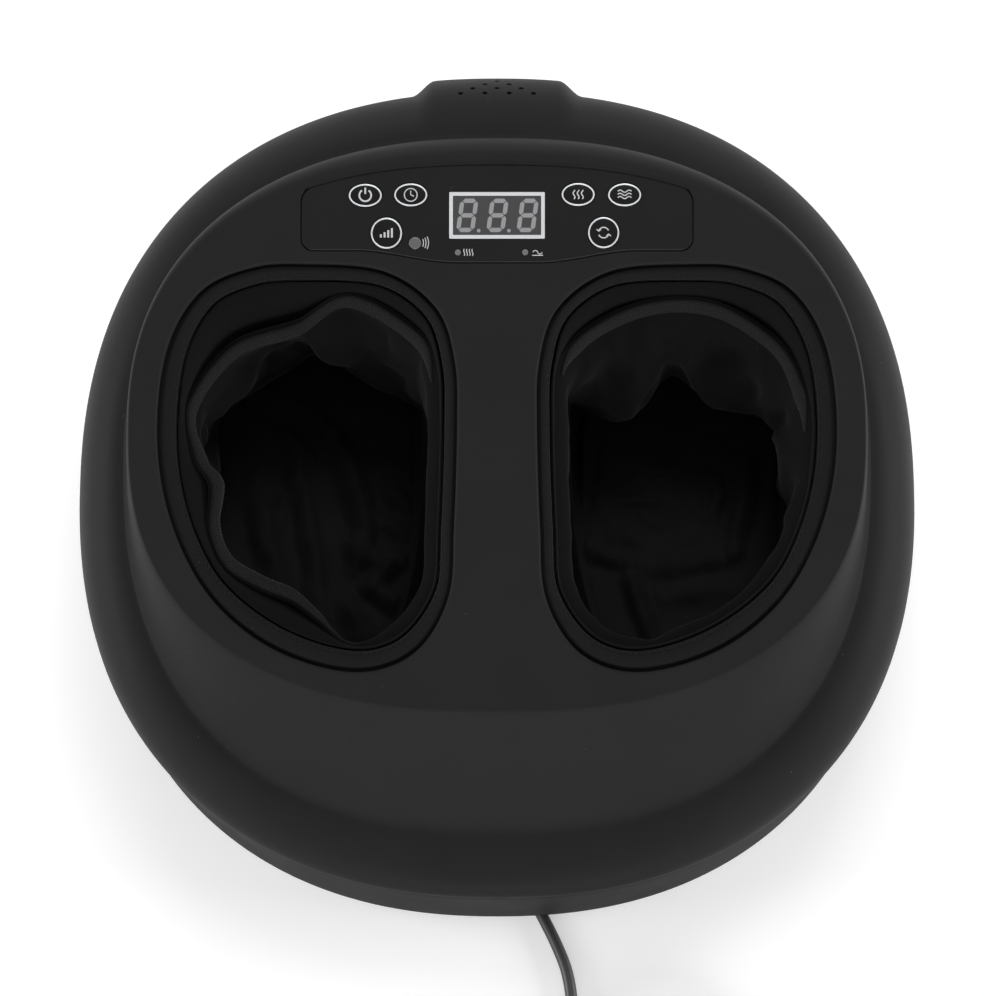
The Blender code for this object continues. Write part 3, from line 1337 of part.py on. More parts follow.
def make_valve_block(parts):
    """The valve that shares the air between the two bags, with a port on each side."""
    rear = valve_front()
    low = CHASSIS_TOP + CLEARANCE
    valve = link("valve_block", block("valve_block", (-VALVE_HALF_WIDTH, rear - VALVE_LENGTH, low),
                                      (VALVE_HALF_WIDTH, rear, low + VALVE_HEIGHT)), parts["frame"])
    reach = VALVE_HALF_WIDTH + NOZZLE_LENGTH
    port = along_x(turned("ports", ((NOZZLE_RADIUS, -reach), (NOZZLE_RADIUS, reach)), 12))
    add(valve, moved(port, Matrix.Translation(valve_port(0))))


def valve_port(side):
    """The mouth of the valve's port on a side."""
    return Vector((side * (VALVE_HALF_WIDTH + NOZZLE_LENGTH), valve_front() - VALVE_LENGTH / 2,
                   CHASSIS_TOP + VALVE_HEIGHT * 0.6))


def make_air_hoses(parts):
    """Hoses from the valve's ports, up behind the pouches and down onto each bag."""
    rows = len(BAG_SLOPE_SHARES)
    step = HOSE_RADIUS * 2
    for name, side in (("left_air_hose", -1), ("right_air_hose", 1)):
        under, over = bag_grids(side)
        place = len(over) - 3 * rows + rows // 2
        out = (over[place] - under[place]).normalized()
        end = over[place] + out * CLEARANCE
        start = valve_port(side) + Vector((side * CLEARANCE, 0, 0))
        above = end + out * step * 3
        corners = [start + Vector((side * step * 1.2, step * 1.5, step * 0.3)),
                   start.lerp(above, 0.4) + Vector((0, step * 2, 0)),
                   start.lerp(above, 0.8) + Vector((0, step * 2, step))]
        points = straight_ended(start, Vector((side, 0, 0)), corners, end, -out, step, 12)
        tube(name, points, HOSE_RADIUS, 1, parts["rubber"])


def panel_under():
    return -PANEL_SUNK - PANEL_THICK


def panel_place(across, up):
    """A place on the panel from its shares of the half width and of the height just there."""
    x = across * PANEL_HALF_WIDTH
    return x, panel_bottom(x) + up * (panel_top(x) - panel_bottom(x))


def display_s():
    return panel_place(0, DISPLAY_PLACE_SHARE)[1]


def button_places():
    return {name: (*panel_place(across, up), size)
            for name, (size, across, up) in BUTTON_SIZES_AND_PLACE_SHARES.items()}


def indicator_places():
    return {name: panel_place(*shares) for name, shares in INDICATOR_PLACE_SHARES.items()}


def make_control_panel(parts, deck):
    """The glossy plate with its openings, and the posts behind it that carry the board."""
    outline = [tuple(p) for p in panel_outline(0.0)]
    panel = link("control_panel", prism("control_panel", outline, panel_under(), -PANEL_SUNK),
                 parts["panel"], deck)
    posts = []
    for side in (-1, 1):
        x = side * (PANEL_HALF_WIDTH - BOARD_POST_SIDE_INSET)
        for s in (panel_bottom(x) + BOARD_POST_INSET, panel_top(x) - BOARD_POST_INSET):
            posts.append(round_prism("post", (x, s), BOARD_POST_RADIUS,
                                     -BOARD_DEPTH + CLEARANCE, panel_under() + PANEL_THICK / 2, 8))
    add(panel, gathered("posts", posts), deck)
    holes = []
    for x, s, size in button_places().values():
        points = circle_points(size[0] + CLEARANCE, size[1] + CLEARANCE, 0.0, BUTTON_SIDES, (x, s))
        holes.append(prism("hole", [(p.x, p.y) for p in points], panel_under() - OVERRUN, OVERRUN))
    for x, s in indicator_places().values():
        holes.append(round_prism("hole", (x, s), INDICATOR_RADIUS + CLEARANCE / 2,
                                 panel_under() - OVERRUN, OVERRUN, 8))
    holes.append(round_prism("hole", panel_place(*LENS_PLACE_SHARES), LENS_RADIUS + CLEARANCE,
                             panel_under() - OVERRUN, OVERRUN, 12))
    wide = DISPLAY_HALF_WIDTH + CLEARANCE
    tall = DISPLAY_HALF_HEIGHT + CLEARANCE
    holes.append(block("hole", (-wide, display_s() - tall, panel_under() - OVERRUN),
                       (wide, display_s() + tall, OVERRUN)))
    cut(panel, gathered("holes", holes), deck)


def button_flange_top():
    return panel_under() - CLEARANCE


def button_stem_bottom():
    return button_flange_top() - BUTTON_FLANGE_THICK - BUTTON_STEM_LENGTH


def make_buttons(parts, deck):
    """Push buttons: a domed cap, a flange behind the panel and a stem over its switch."""
    top = -PANEL_SUNK + BUTTON_PROUD
    flange = button_flange_top()
    low = flange - BUTTON_FLANGE_THICK
    for name, (x, s, size) in button_places().items():
        wide, tall = size
        rings = [
            circle_points(BUTTON_STEM, BUTTON_STEM, button_stem_bottom(), BUTTON_SIDES),
            circle_points(BUTTON_STEM, BUTTON_STEM, low, BUTTON_SIDES),
            circle_points(wide + BUTTON_FLANGE, tall + BUTTON_FLANGE, low, BUTTON_SIDES),
            circle_points(wide + BUTTON_FLANGE, tall + BUTTON_FLANGE, flange, BUTTON_SIDES),
            circle_points(wide, tall, flange, BUTTON_SIDES),
            circle_points(wide, tall, top - BUTTON_PROUD * 0.5, BUTTON_SIDES),
            circle_points(wide - BUTTON_PROUD, tall - BUTTON_PROUD, top, BUTTON_SIDES),
        ]
        button = link(name, lofted(name, rings), parts["panel"], deck)
        button.location = (x, s, 0.0)


def make_display(parts, deck):
    """The clear window in the panel and the digit module behind it."""
    wide = DISPLAY_HALF_WIDTH
    tall = DISPLAY_HALF_HEIGHT
    link("display_window", block("display_window", (-wide, display_s() - tall, panel_under()),
                                 (wide, display_s() + tall, -PANEL_SUNK)), parts["lens"], deck)
    wide -= DISPLAY_MODULE_INSET
    tall -= DISPLAY_MODULE_INSET
    link("display_module", block("display_module",
                                 (-wide, display_s() - tall, -BOARD_DEPTH + CLEARANCE),
                                 (wide, display_s() + tall, panel_under() - CLEARANCE)),
         parts["display"], deck)


def make_lenses(parts, deck):
    """The remote receiver's domed lens and the two indicator lenses."""
    top = -PANEL_SUNK
    low = top - LENS_LENGTH
    dome = LENS_RADIUS
    profile = ((dome, low), (dome, top), (dome * 0.8, top + dome * 0.18), (dome * 0.4, top + dome * 0.28),
               (0.0, top + dome * 0.32))
    lens = link("ir_lens", turned("ir_lens", profile, 12), parts["lens"], deck)
    lens.location = (*panel_place(*LENS_PLACE_SHARES), 0.0)
    for name, place in indicator_places().items():
        radius = INDICATOR_RADIUS - CLEARANCE / 2
        mesh = turned(name, ((radius, low), (radius, top), (radius * 0.6, top + radius * 0.3)), 8)
        indicator = link(name, mesh, parts["lens"], deck)
        indicator.location = (*place, 0.0)


def make_control_board(parts, deck):
    """The board behind the panel, with a switch under each button and the light sources."""
    top = -BOARD_DEPTH
    outline = [tuple(p) for p in panel_outline(BOARD_INSET)]
    board = link("control_board", prism("control_board", outline, top - BOARD_THICK, top),
                 parts["board"], deck)
    inside = top - BOARD_THICK / 2
    solids = []
    switch_top = button_stem_bottom() - BUTTON_TRAVEL - CLEARANCE
    for x, s, size in button_places().values():
        half = SWITCH_HALF
        solids.append(block("switch", (x - half, s - half, inside), (x + half, s + half, switch_top)))
    source_top = -PANEL_SUNK - LENS_LENGTH - CLEARANCE
    for x, s in [*indicator_places().values(), panel_place(*LENS_PLACE_SHARES)]:
        solids.append(round_prism("source", (x, s + INDICATOR_RADIUS / 2), INDICATOR_RADIUS, inside,
                                  source_top, 6))
    half = SWITCH_HALF
    solids.append(block("connector", (-2 * half, display_s() - half, inside - BOARD_THICK - 2 * half),
                        (2 * half, display_s() + half, inside)))
    add(board, gathered("fittings", solids), deck)


def board_connector():
    """The place under the control board where the loom plugs in."""
    return deck_point(0.0, display_s(), -BOARD_DEPTH - BOARD_THICK * 1.5 - 2 * SWITCH_HALF - CLEARANCE)


def make_power_board(parts):
    """The supply board on its pillars: transformer, capacitor, relays and terminals."""
    rear = POWER_BOARD_Y[1]
    front = POWER_BOARD_Y[0]
    wide = POWER_BOARD_HALF_WIDTH
    low = POWER_BOARD_Z
    top = low + BOARD_THICK
    board = link("power_board", block("power_board", (-wide, front, low), (wide, rear, top)),
                 parts["board"])
    middle = (front + rear) / 2
    inside = low + BOARD_THICK / 2
    depth = (rear - front) / 2
    transformer = block("transformer", (-wide * 0.85, middle - depth * 0.6, inside),
                        (-wide * 0.25, middle + depth * 0.6, top + wide * 0.42))
    capacitor = round_prism("capacitor", (wide * 0.15, middle + depth * 0.3), wide * 0.17, inside,
                            top + wide * 0.4, 16)
    relay = block("relay", (wide * 0.45, middle - depth * 0.1, inside),
                  (wide * 0.85, middle + depth * 0.6, top + wide * 0.3))
    terminals = block("terminals", (wide * 0.1, front + CLEARANCE, inside),
                      (wide * 0.55, front + depth * 0.4, top + wide * 0.22))
    plug = block("loom_socket", (-SWITCH_HALF, middle - depth * 0.75, inside),
                 (SWITCH_HALF, middle - depth * 0.45, top + 2 * SWITCH_HALF))
    add(board, gathered("fittings", [transformer, capacitor, relay, terminals, plug]))


def loom_socket():
    middle = (POWER_BOARD_Y[0] + POWER_BOARD_Y[1]) / 2
    depth = (POWER_BOARD_Y[1] - POWER_BOARD_Y[0]) / 2
    return Vector((0.0, middle - depth * 0.6,
                   POWER_BOARD_Z + BOARD_THICK + 2 * SWITCH_HALF + CLEARANCE))


def make_wiring_loom(parts):
    """The loom that runs down between the pouches from the control board to the power board."""
    top = board_connector()
    low = loom_socket()
    lift = SWITCH_HALF * 4
    down = deck_point(0.0, display_s(), 0.0) - deck_point(0.0, display_s(), lift)
    down.normalize()
    corners = [top + down * lift + Vector((0, -lift, -lift / 2)),
               Vector((0.0, (top.y + low.y * 2) / 3, (top.z * 2 + low.z) / 3)),
               Vector((0.0, (top.y + low.y * 9) / 10, (top.z + low.z * 4) / 5))]
    points = straight_ended(top, down, corners, low, Vector((0, 0, -1)), LOOM_RADIUS * 2, 15)
    tube("wiring_loom", points, LOOM_RADIUS, 1, parts["rubber"])


def relief_frame():
    """The strain relief's own axes: its +Z runs forward and down out of the cable room."""
    turn = Matrix.Rotation(math.pi / 2 + RELIEF_SLOPE, 4, "X")
    return Matrix.Translation((RELIEF_X, RELIEF_Y + WALL, RELIEF_Z)) @ turn


def relief_mouth():
    """The place and direction in which the lead leaves the strain relief."""
    frame = relief_frame()
    direction = (frame.to_3x3() @ Vector((0, 0, 1))).normalized()
    start = frame @ Vector((0, 0, relief_reach()))
    return start + direction * CLEARANCE, direction


def relief_reach():
    return WALL + RELIEF_LENGTH


def make_strain_relief(parts):
    """A tapered rubber sleeve moulded on the lead, gripping the wall of the cable room."""
    cord = CORD_DIAMETER / 2
    flange = RELIEF_FLANGE_RADIUS
    behind = -(flange * math.sin(RELIEF_SLOPE) + CLEARANCE) / math.cos(RELIEF_SLOPE)
    root = behind - RELIEF_FLANGE_THICK
    profile = ((cord, root - RELIEF_STUB), (cord, root),
               (flange, root), (flange, behind), (RELIEF_ROOT_RADIUS, behind),
               (RELIEF_ROOT_RADIUS, WALL + CLEARANCE), (RELIEF_TIP_RADIUS, relief_reach()))
    mesh = moved(turned("strain_relief", profile, RELIEF_STEPS), relief_frame())
    link("strain_relief", mesh, parts["rubber"])


def coil_height():
    return FLOOR_GAP + TIE_THICK + TIE_GAP + CORD_DIAMETER / 2


def coil_points():
    """The coil's centre line: in along the lower layer, up, out along the upper, then a tail."""
    layer = COIL_LAYER_TURNS
    climb_end = layer + COIL_CLIMB_TURNS
    tail_start = climb_end + layer
    total = tail_start + COIL_TAIL_TURNS
    low = coil_height()
    high = low + COIL_PITCH
    plug = plug_height()
    points = [coil_start() + Vector((0, CORD_DIAMETER, 0))]
    count = round(total * COIL_STEPS)
    for step in range(count + 1):
        turn = total * step / count
        angle = math.pi + 2 * math.pi * turn
        half_way = (layer + climb_end) / 2
        from_half_way = math.hypot(turn - half_way, COIL_TURN_BACK)
        radius = COIL_OUTER - (half_way - from_half_way) * COIL_PITCH
        height = low + (high - low) * ease(layer, climb_end, turn)
        radius += COIL_TAIL_OUT * ease(tail_start, total - COIL_TAIL_TURNS * 0.2, turn)
        height += (plug - high) * ease(tail_start + COIL_TAIL_TURNS * 0.3, total, turn)
        points.append(Vector((COIL_X + radius * math.cos(angle), COIL_Y + radius * math.sin(angle),
                              height)))
    along = (points[-1] - points[-2])
    along.z = 0.0
    points.append(points[-1] + along.normalized() * CORD_DIAMETER)
    return points


def coil_start():
    return Vector((COIL_X - COIL_OUTER, COIL_Y, coil_height()))


def plug_height():
    return FLOOR_GAP + PLUG_HALF_THICK


def cord_route():
    """The free stretch: out of the relief, down, under the front edge and round to the coil."""
    start, direction = relief_mouth()
    floor = FLOOR_GAP + CORD_DIAMETER / 2
    end = coil_start() + Vector((0, CORD_DIAMETER + CLEARANCE, 0))
    route = [start, start + direction * CORD_DIAMETER * 1.5]
    for x, ahead, lift in CORD_ROUTE:
        route.append(Vector((x, -FRONT_HALF - ahead, floor + lift)))
    return route + [Vector((end.x, end.y + CORD_DIAMETER * 2, end.z)), end]


def make_mains_lead(parts):
    """The lead's free stretch and its coil, each one unbroken tube."""
    route = spline_points(cord_route(), 6, False)
    free = evenly(route, 22, False)
    tube("mains_cord", free, CORD_DIAMETER / 2, 2, parts["cord"])
    coil = coil_points()
    tube("cord_coil", coil, CORD_DIAMETER / 2, 1, parts["cord"])
    gap = least_gap(coil, COIL_STEPS // 2) - CORD_DIAMETER
    print("lead: free %.1f mm, coil %.1f mm, least gap in the coil %.2f mm"
          % (path_length(free) / MM, path_length(coil) / MM, gap / MM))
    return coil


def least_gap(points, apart):
    """The least distance between stretches of a path that aren't next to each other."""
    least = float("inf")
    for first in range(len(points)):
        for second in range(first + apart, len(points) - 1):
            start = points[second]
            along = points[second + 1] - start
            share = (points[first] - start).dot(along) / along.length_squared
            share = min(max(share, 0.0), 1.0)
            least = min(least, (points[first] - start - along * share).length)
    return least


def make_cord_tie(parts, coil):
    """A flat strap around all the turns at one place."""
    centre = Vector((COIL_X, COIL_Y, 0.0))
    out = Vector((math.cos(TIE_ANGLE), math.sin(TIE_ANGLE), 0.0))
    along = Vector((-out.y, out.x, 0.0))
    radii = []
    heights = []
    for before, after in zip(coil, coil[1:]):
        for share in (0.0, 0.25, 0.5, 0.75):
            point = before.lerp(after, share) - centre
            if abs(point.dot(along)) < TIE_WIDTH and point.dot(out) > 0:
                radii.append(point.dot(out))
                heights.append(point.z)
    room = CORD_DIAMETER / 2 + TIE_GAP
    corner = CORD_DIAMETER / 2
    low = (min(radii) - room, min(heights) - room)
    high = (max(radii) + room, max(heights) + room)
    inner = rounded_rectangle(low, high, corner, 4)
    outer = rounded_rectangle((low[0] - TIE_THICK, low[1] - TIE_THICK),
                              (high[0] + TIE_THICK, high[1] + TIE_THICK), corner + TIE_THICK, 4)
    rings = []
    for outline, shift in ((inner, -1), (outer, -1), (outer, 1), (inner, 1)):
        rings.append([centre + out * r + along * shift * TIE_WIDTH / 2 + Vector((0, 0, z))
                      for r, z in outline])
    link("cord_tie", lofted("cord_tie", rings, loop=True), parts["rubber"])


def plug_frame(coil):
    """The plug's own axes: +Z runs on from the end of the lead."""
    along = (coil[-1] - coil[-2]).normalized()
    side = Vector((0, 0, 1)).cross(along)
    turn = Matrix((side, Vector((0, 0, 1)), along)).transposed().to_4x4()
    return Matrix.Translation(coil[-1] + along * CLEARANCE) @ turn


def make_plug(parts, coil):
    """A plain moulded plug with two flat blades."""
    frame = plug_frame(coil)
    steps = 16

    def section(wide, thick, power, along):
        points = []
        for step in range(steps):
            point = superellipse(2 * math.pi * step / steps, wide, thick, thick, power)
            points.append(Vector((point.x, point.y, along)))
        return points

    body_end = PLUG_NECK + PLUG_LENGTH
    rings = [section(PLUG_TIP_RADIUS, PLUG_TIP_RADIUS, 2, 0.0),
             section(PLUG_NECK_RADIUS, PLUG_NECK_RADIUS, 2, PLUG_NECK * 0.8),
             section(PLUG_NECK_RADIUS * 1.2, PLUG_NECK_RADIUS * 1.1, 2.2, PLUG_NECK),
             section(PLUG_HALF_WIDTH * 0.8, PLUG_HALF_THICK * 0.85, 2.8, PLUG_NECK + PLUG_LENGTH * 0.25),
             section(PLUG_HALF_WIDTH, PLUG_HALF_THICK, 4, PLUG_NECK + PLUG_LENGTH * 0.6),
             section(PLUG_HALF_WIDTH, PLUG_HALF_THICK, 4, body_end - WALL / 2),
             section(PLUG_HALF_WIDTH - WALL / 2, PLUG_HALF_THICK - WALL / 2, 4, body_end)]
    plug = link("mains_plug", moved(lofted("mains_plug", rings), frame), parts["cord"])
    slots = []
    for name, side in (("left_blade", -1), ("right_blade", 1)):
        x = side * BLADE_SPACING / 2
        half = BLADE_HALF_THICK
        tall = BLADE_HALF_HEIGHT
        start = body_end - BLADE_SOCKET
        blade = block(name, (x - half, -tall, start + CLEARANCE), (x + half, tall, body_end + BLADE_REACH))
        link(name, moved(blade, frame), parts["steel"])
        slot = block("slot", (x - half - CLEARANCE, -tall - CLEARANCE, start),
                     (x + half + CLEARANCE, tall + CLEARANCE, body_end + OVERRUN))
        slots.append(moved(slot, frame))
    cut(plug, gathered("slots", slots))


def make_finishes():
    return {
        "housing": finish("matte_black_housing", (0.022, 0.022, 0.024), 0.55),
        "base": finish("grey_black_base", (0.040, 0.040, 0.043), 0.6),
        "panel": finish("gloss_black_panel", (0.012, 0.012, 0.014), 0.25),
        "fabric": finish("black_fabric", (0.012, 0.012, 0.013), 0.9),
        "rubber": finish("black_rubber", (0.02, 0.02, 0.02), 0.8),
        "steel": finish("plated_steel", (0.6, 0.6, 0.62), 0.35, 1.0),
        "aluminium": finish("aluminium", (0.75, 0.75, 0.77), 0.4, 1.0),
        "frame": finish("natural_frame_plastic", (0.55, 0.55, 0.52), 0.5),
        "gear": finish("ivory_gear_plastic", (0.75, 0.72, 0.62), 0.45),
        "head": finish("grey_head_plastic", (0.25, 0.25, 0.27), 0.5),
        "bearing": finish("bearing_plastic", (0.1, 0.12, 0.2), 0.5),
        "bag": finish("clear_grey_bag", (0.35, 0.38, 0.42), 0.4),
        "board": finish("green_board", (0.03, 0.16, 0.06), 0.5),
        "display": finish("grey_display", (0.12, 0.12, 0.13), 0.5),
        "lens": finish("smoked_lens", (0.3, 0.3, 0.32), 0.15),
        "cord": finish("black_cord", (0.025, 0.025, 0.026), 0.6),
    }


def main():
    clear_scene()
    parts = make_finishes()
    deck = bpy.data.objects.new("deck_frame", None)
    bpy.context.scene.collection.objects.link(deck)
    deck.location = (0, DECK_Y, DECK_Z)
    deck.rotation_euler = (DECK_TILT, 0, 0)
    make_base_pan(parts)
    make_feet(parts)
    make_top_cover(parts, deck)
    make_screws(parts)
    make_collars(parts, deck)
    make_pouches(parts)
    make_chassis(parts)
    make_motor(parts)
    make_worm_shaft(parts)
    make_bearings(parts)
    make_worm_wheels(parts)
    make_massage_heads(parts)
    make_heaters(parts)
    make_air_bags(parts)
    make_air_pump(parts)
    make_valve_block(parts)
    make_air_hoses(parts)
    make_control_panel(parts, deck)
    make_buttons(parts, deck)
    make_display(parts, deck)
    make_lenses(parts, deck)
    make_control_board(parts, deck)
    make_power_board(parts)
    make_wiring_loom(parts)
    make_strain_relief(parts)
    coil = make_mains_lead(parts)
    make_cord_tie(parts, coil)
    make_plug(parts, coil)


main()
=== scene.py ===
"""A round black foot massager with two fabric-lined wells, on a pale studio floor.

Metres, +Z up, the user on the -Y side. Lengths are written in millimetres times MM.
"""
import math

import bmesh
import bpy
from mathutils import Matrix, Vector, noise
from mathutils.geometry import tessellate_polygon


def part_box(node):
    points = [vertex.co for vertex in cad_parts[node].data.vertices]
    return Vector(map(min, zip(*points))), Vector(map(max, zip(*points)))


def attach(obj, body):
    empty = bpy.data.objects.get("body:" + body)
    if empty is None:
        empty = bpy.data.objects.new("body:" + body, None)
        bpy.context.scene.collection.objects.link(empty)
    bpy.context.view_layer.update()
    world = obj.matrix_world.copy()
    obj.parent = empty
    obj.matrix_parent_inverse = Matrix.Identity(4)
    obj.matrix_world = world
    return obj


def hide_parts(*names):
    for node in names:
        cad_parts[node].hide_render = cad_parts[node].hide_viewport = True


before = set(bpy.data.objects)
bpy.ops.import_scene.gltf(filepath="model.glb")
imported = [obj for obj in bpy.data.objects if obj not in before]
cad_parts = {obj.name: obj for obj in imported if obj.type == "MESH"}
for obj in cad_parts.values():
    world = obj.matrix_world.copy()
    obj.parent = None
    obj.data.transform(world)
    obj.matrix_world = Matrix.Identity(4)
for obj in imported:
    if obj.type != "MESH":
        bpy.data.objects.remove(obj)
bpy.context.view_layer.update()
MM = 0.001
scene = bpy.context.scene

# The studio. A pale floor that the camera sees as white, a small soft lamp overhead and four low
# soft lamps around the housing. The camera looks down at the deck from the user's side.
CAMERA_TARGET = Vector((0.0, -2.7, 72.0)) * MM
CAMERA_DISTANCE = 1500 * MM
CAMERA_ELEVATION = math.radians(70)
FRAME_HEIGHT = 996
WORLD_SEEN = 1.0
WORLD_LIGHT = 0.22
LAMP_AIM = Vector((0, 0, 0.1))
LAMP_HEIGHT = 0.6
LAMPS = (("top_lamp", (0.15, 0.5, 1.7), 0.6, 5), ("rear_lamp", (0.0, 1.5, 0.7), 1.6, 13),
         ("front_lamp", (0.0, -1.7, 0.5), 1.4, 18), ("left_lamp", (-1.5, -0.1, 0.42), 0.8, 17),
         ("right_lamp", (1.5, -0.1, 0.42), 0.8, 17))


def linked(name, data):
    thing = bpy.data.objects.new(name, data)
    scene.collection.objects.link(thing)
    return thing


def aimed(name, data, place, way):
    """A camera or lamp at a place that looks along a direction."""
    thing = linked(name, data)
    thing.location = place
    thing.rotation_mode = "QUATERNION"
    thing.rotation_quaternion = way.to_track_quat("-Z", "Y")
    return thing


camera_data = bpy.data.cameras.new("camera")
camera_data.lens = 116.08
camera_data.sensor_width = 36.0
camera_data.shift_x = -5 / FRAME_HEIGHT
camera_data.shift_y = 7 / FRAME_HEIGHT
camera_data.clip_start = 0.05
camera_data.clip_end = 20.0
view_back = Vector((0.0, -math.cos(CAMERA_ELEVATION), math.sin(CAMERA_ELEVATION)))
scene.camera = aimed("camera", camera_data, CAMERA_TARGET + view_back * CAMERA_DISTANCE, -view_back)
scene.view_settings.view_transform = "Standard"


def feed(tree, node, inputs):
    """Link or set the inputs of a node."""
    for socket, value in dict(inputs).items():
        if isinstance(value, bpy.types.NodeSocket):
            tree.links.new(value, node.inputs[socket])
        else:
            node.inputs[socket].default_value = value


def add_node(tree, kind, inputs=(), **settings):
    """Add a node, with its settings, and link or set the inputs that are given."""
    made = tree.nodes.new(kind)
    for key, value in settings.items():
        setattr(made, key, value)
    feed(tree, made, inputs)
    return made


def shade(tree, kind, inputs=(), output=0, **settings):
    """Add a shader node and give one of its outputs."""
    return add_node(tree, "ShaderNode" + kind, inputs, **settings).outputs[output]


def strength_by_ray(tree, target, seen_strength, light_strength):
    """Give a light-giving socket one strength for what looks at it and another for what it lights."""
    rays = add_node(tree, "ShaderNodeLightPath").outputs
    looks = rays["Is Camera Ray"]
    for kind in ("Is Transmission Ray", "Is Glossy Ray"):
        looks = shade(tree, "Math", {0: looks, 1: rays[kind]}, operation="MAXIMUM")
    tree.links.new(shade(tree, "MapRange", {"Value": looks, "To Min": light_strength,
                                            "To Max": seen_strength}), target)


world = bpy.data.worlds.new("studio")
world.use_nodes = True
scene.world = world
world_background = world.node_tree.nodes["Background"]
world_background.inputs["Color"].default_value = (1.0, 1.0, 1.0, 1.0)
strength_by_ray(world.node_tree, world_background.inputs["Strength"], WORLD_SEEN, WORLD_LIGHT)
for name, place, width, power in LAMPS:
    lamp_data = bpy.data.lights.new(name, "AREA")
    lamp_data.shape = "RECTANGLE"
    lamp_data.size = width
    lamp_data.size_y = LAMP_HEIGHT
    lamp_data.energy = power
    aimed(name, lamp_data, place, LAMP_AIM - Vector(place))


def new_finish(name, levels):
    """A new material with its node tree and its shader, some inputs set."""
    finish = bpy.data.materials.new(name)
    finish.use_nodes = True
    shader = finish.node_tree.nodes["Principled BSDF"]
    feed(finish.node_tree, shader, levels)
    return finish, finish.node_tree, shader


floor_shape = bmesh.new()
bmesh.ops.create_grid(floor_shape, x_segments=8, y_segments=8, size=8.0)
floor_mesh = bpy.data.meshes.new("studio_floor")
floor_shape.to_mesh(floor_mesh)
floor_shape.free()
floor = linked("studio_floor", floor_mesh)
floor_finish, floor_tree, floor_shader = new_finish("pale_floor", {
    "Base Color": (0.80, 0.80, 0.80, 1.0), "Roughness": 0.85,
    "Emission Color": (1.0, 1.0, 1.0, 1.0)})
floor_reach = shade(floor_tree, "VectorMath", {0: shade(floor_tree, "TexCoord", output="Object")},
                    output="Value", operation="LENGTH")
floor_glow = shade(floor_tree, "MapRange", {"Value": floor_reach, "From Min": 0.5, "From Max": 2.6,
                                            "To Min": 0.36, "To Max": 0.86})
strength_by_ray(floor_tree, floor_shader.inputs["Emission Strength"], floor_glow, 0.0)
floor_mesh.materials.append(floor_finish)

# The mains lead. A round black PVC cable about 1.4 m long: it leaves its strain relief in the
# room under the pan, runs out under the front skirt, and the rest lies in a flat two-layer coil.
CORD_DIAMETER = 5.6 * MM
CORD_EXIT = Vector((14.0, -149.06, 10.48)) * MM
CORD_SLOPE = math.radians(18)
CORD_ROUTE = ((15.5, -167.0, 4.0), (17.5, -174.0, 3.2), (20.0, -180.0, 2.9), (22.3, -184.5, 2.9),
              (27.8, -196.0, 2.9), (32.6, -209.0, 2.9), (34.8, -224.0, 3.0), (34.6, -240.0, 3.5),
              (34.5, -254.9, 4.1))
COIL_CENTRE = Vector((76.0, -272.0, 0.0)) * MM
COIL_OUTER = 41.5 * MM
COIL_LOW = 4.1 * MM
COIL_PITCH = 6.3 * MM
COIL_LAYER_TURNS = 2.75
COIL_HALF_WAY = 3.0
COIL_CLIMB_END = 3.25
COIL_TAIL_START = 6.0
COIL_TAIL_SPREAD = 9.5 * MM
COIL_TURNS = 6.25
COIL_STEPS = 48
PLUG_LEVEL = 7.4 * MM
PLUG_END = 54.0 * MM
BLADE_SPACING = 12.7 * MM
BLADE_REACH = 16.0 * MM
TIE_ANGLE = math.radians(35)
TIE_WIDTH = 6.0 * MM
RELIEF_PLACE = Vector((14.0, -125.0, 18.3)) * MM
CORD_BLACK = (0.022, 0.022, 0.023)
BLADE_METAL = (0.62, 0.60, 0.56)


def ease(low, high, value):
    share = min(max((value - low) / (high - low), 0.0), 1.0)
    return share * share * (3 - 2 * share)


def curve_at(a, b, c, d, t):
    """A place from b to c on the smooth curve that also passes a and d."""
    return 0.5 * (2 * b + (c - a) * t + (2 * a - 5 * b + 4 * c - d) * t * t
                  + (3 * b - a - 3 * c + d) * t * t * t)


def spline_points(corners, per_span, closed):
    """Points along a smooth curve through the corners, as Vectors."""
    knots = [Vector(corner) for corner in corners]
    if closed:
        knots = knots[-1:] + knots + knots[:2]
    else:
        knots = [2 * knots[0] - knots[1], *knots, 2 * knots[-1] - knots[-2]]
    points = [curve_at(*knots[span:span + 4], step / per_span)
              for span in range(len(knots) - 3) for step in range(per_span)]
    return points if closed else points + [knots[-2]]


def evenly(points, count, closed):
    """The same path with its points spread evenly along it."""
    path = points + [points[0]] if closed else points
    lengths = [0.0]
    for before, after in zip(path, path[1:]):
        lengths.append(lengths[-1] + (after - before).length)
    result = []
    place = 0
    for index in range(count):
        target = lengths[-1] * index / (count if closed else count - 1)
        while place < len(lengths) - 2 and lengths[place + 1] < target:
            place += 1
        share = (target - lengths[place]) / (lengths[place + 1] - lengths[place])
        result.append(path[place].lerp(path[place + 1], min(share, 1.0)))
    return result


def coil_place(turn):
    """Inwards along the lower layer, up, outwards along the upper one, then off to the plug."""
    angle = math.pi + 2 * math.pi * turn
    radius = COIL_OUTER - (COIL_HALF_WAY - math.hypot(turn - COIL_HALF_WAY, 0.08)) * COIL_PITCH
    radius += COIL_TAIL_SPREAD * ease(COIL_TAIL_START, COIL_TURNS - 0.05, turn)
    height = COIL_LOW + COIL_PITCH * ease(COIL_LAYER_TURNS, COIL_CLIMB_END, turn)
    height += (PLUG_LEVEL - COIL_LOW - COIL_PITCH) * ease(COIL_TAIL_START + 0.075, COIL_TURNS, turn)
    return COIL_CENTRE + Vector((radius * math.cos(angle), radius * math.sin(angle), height))


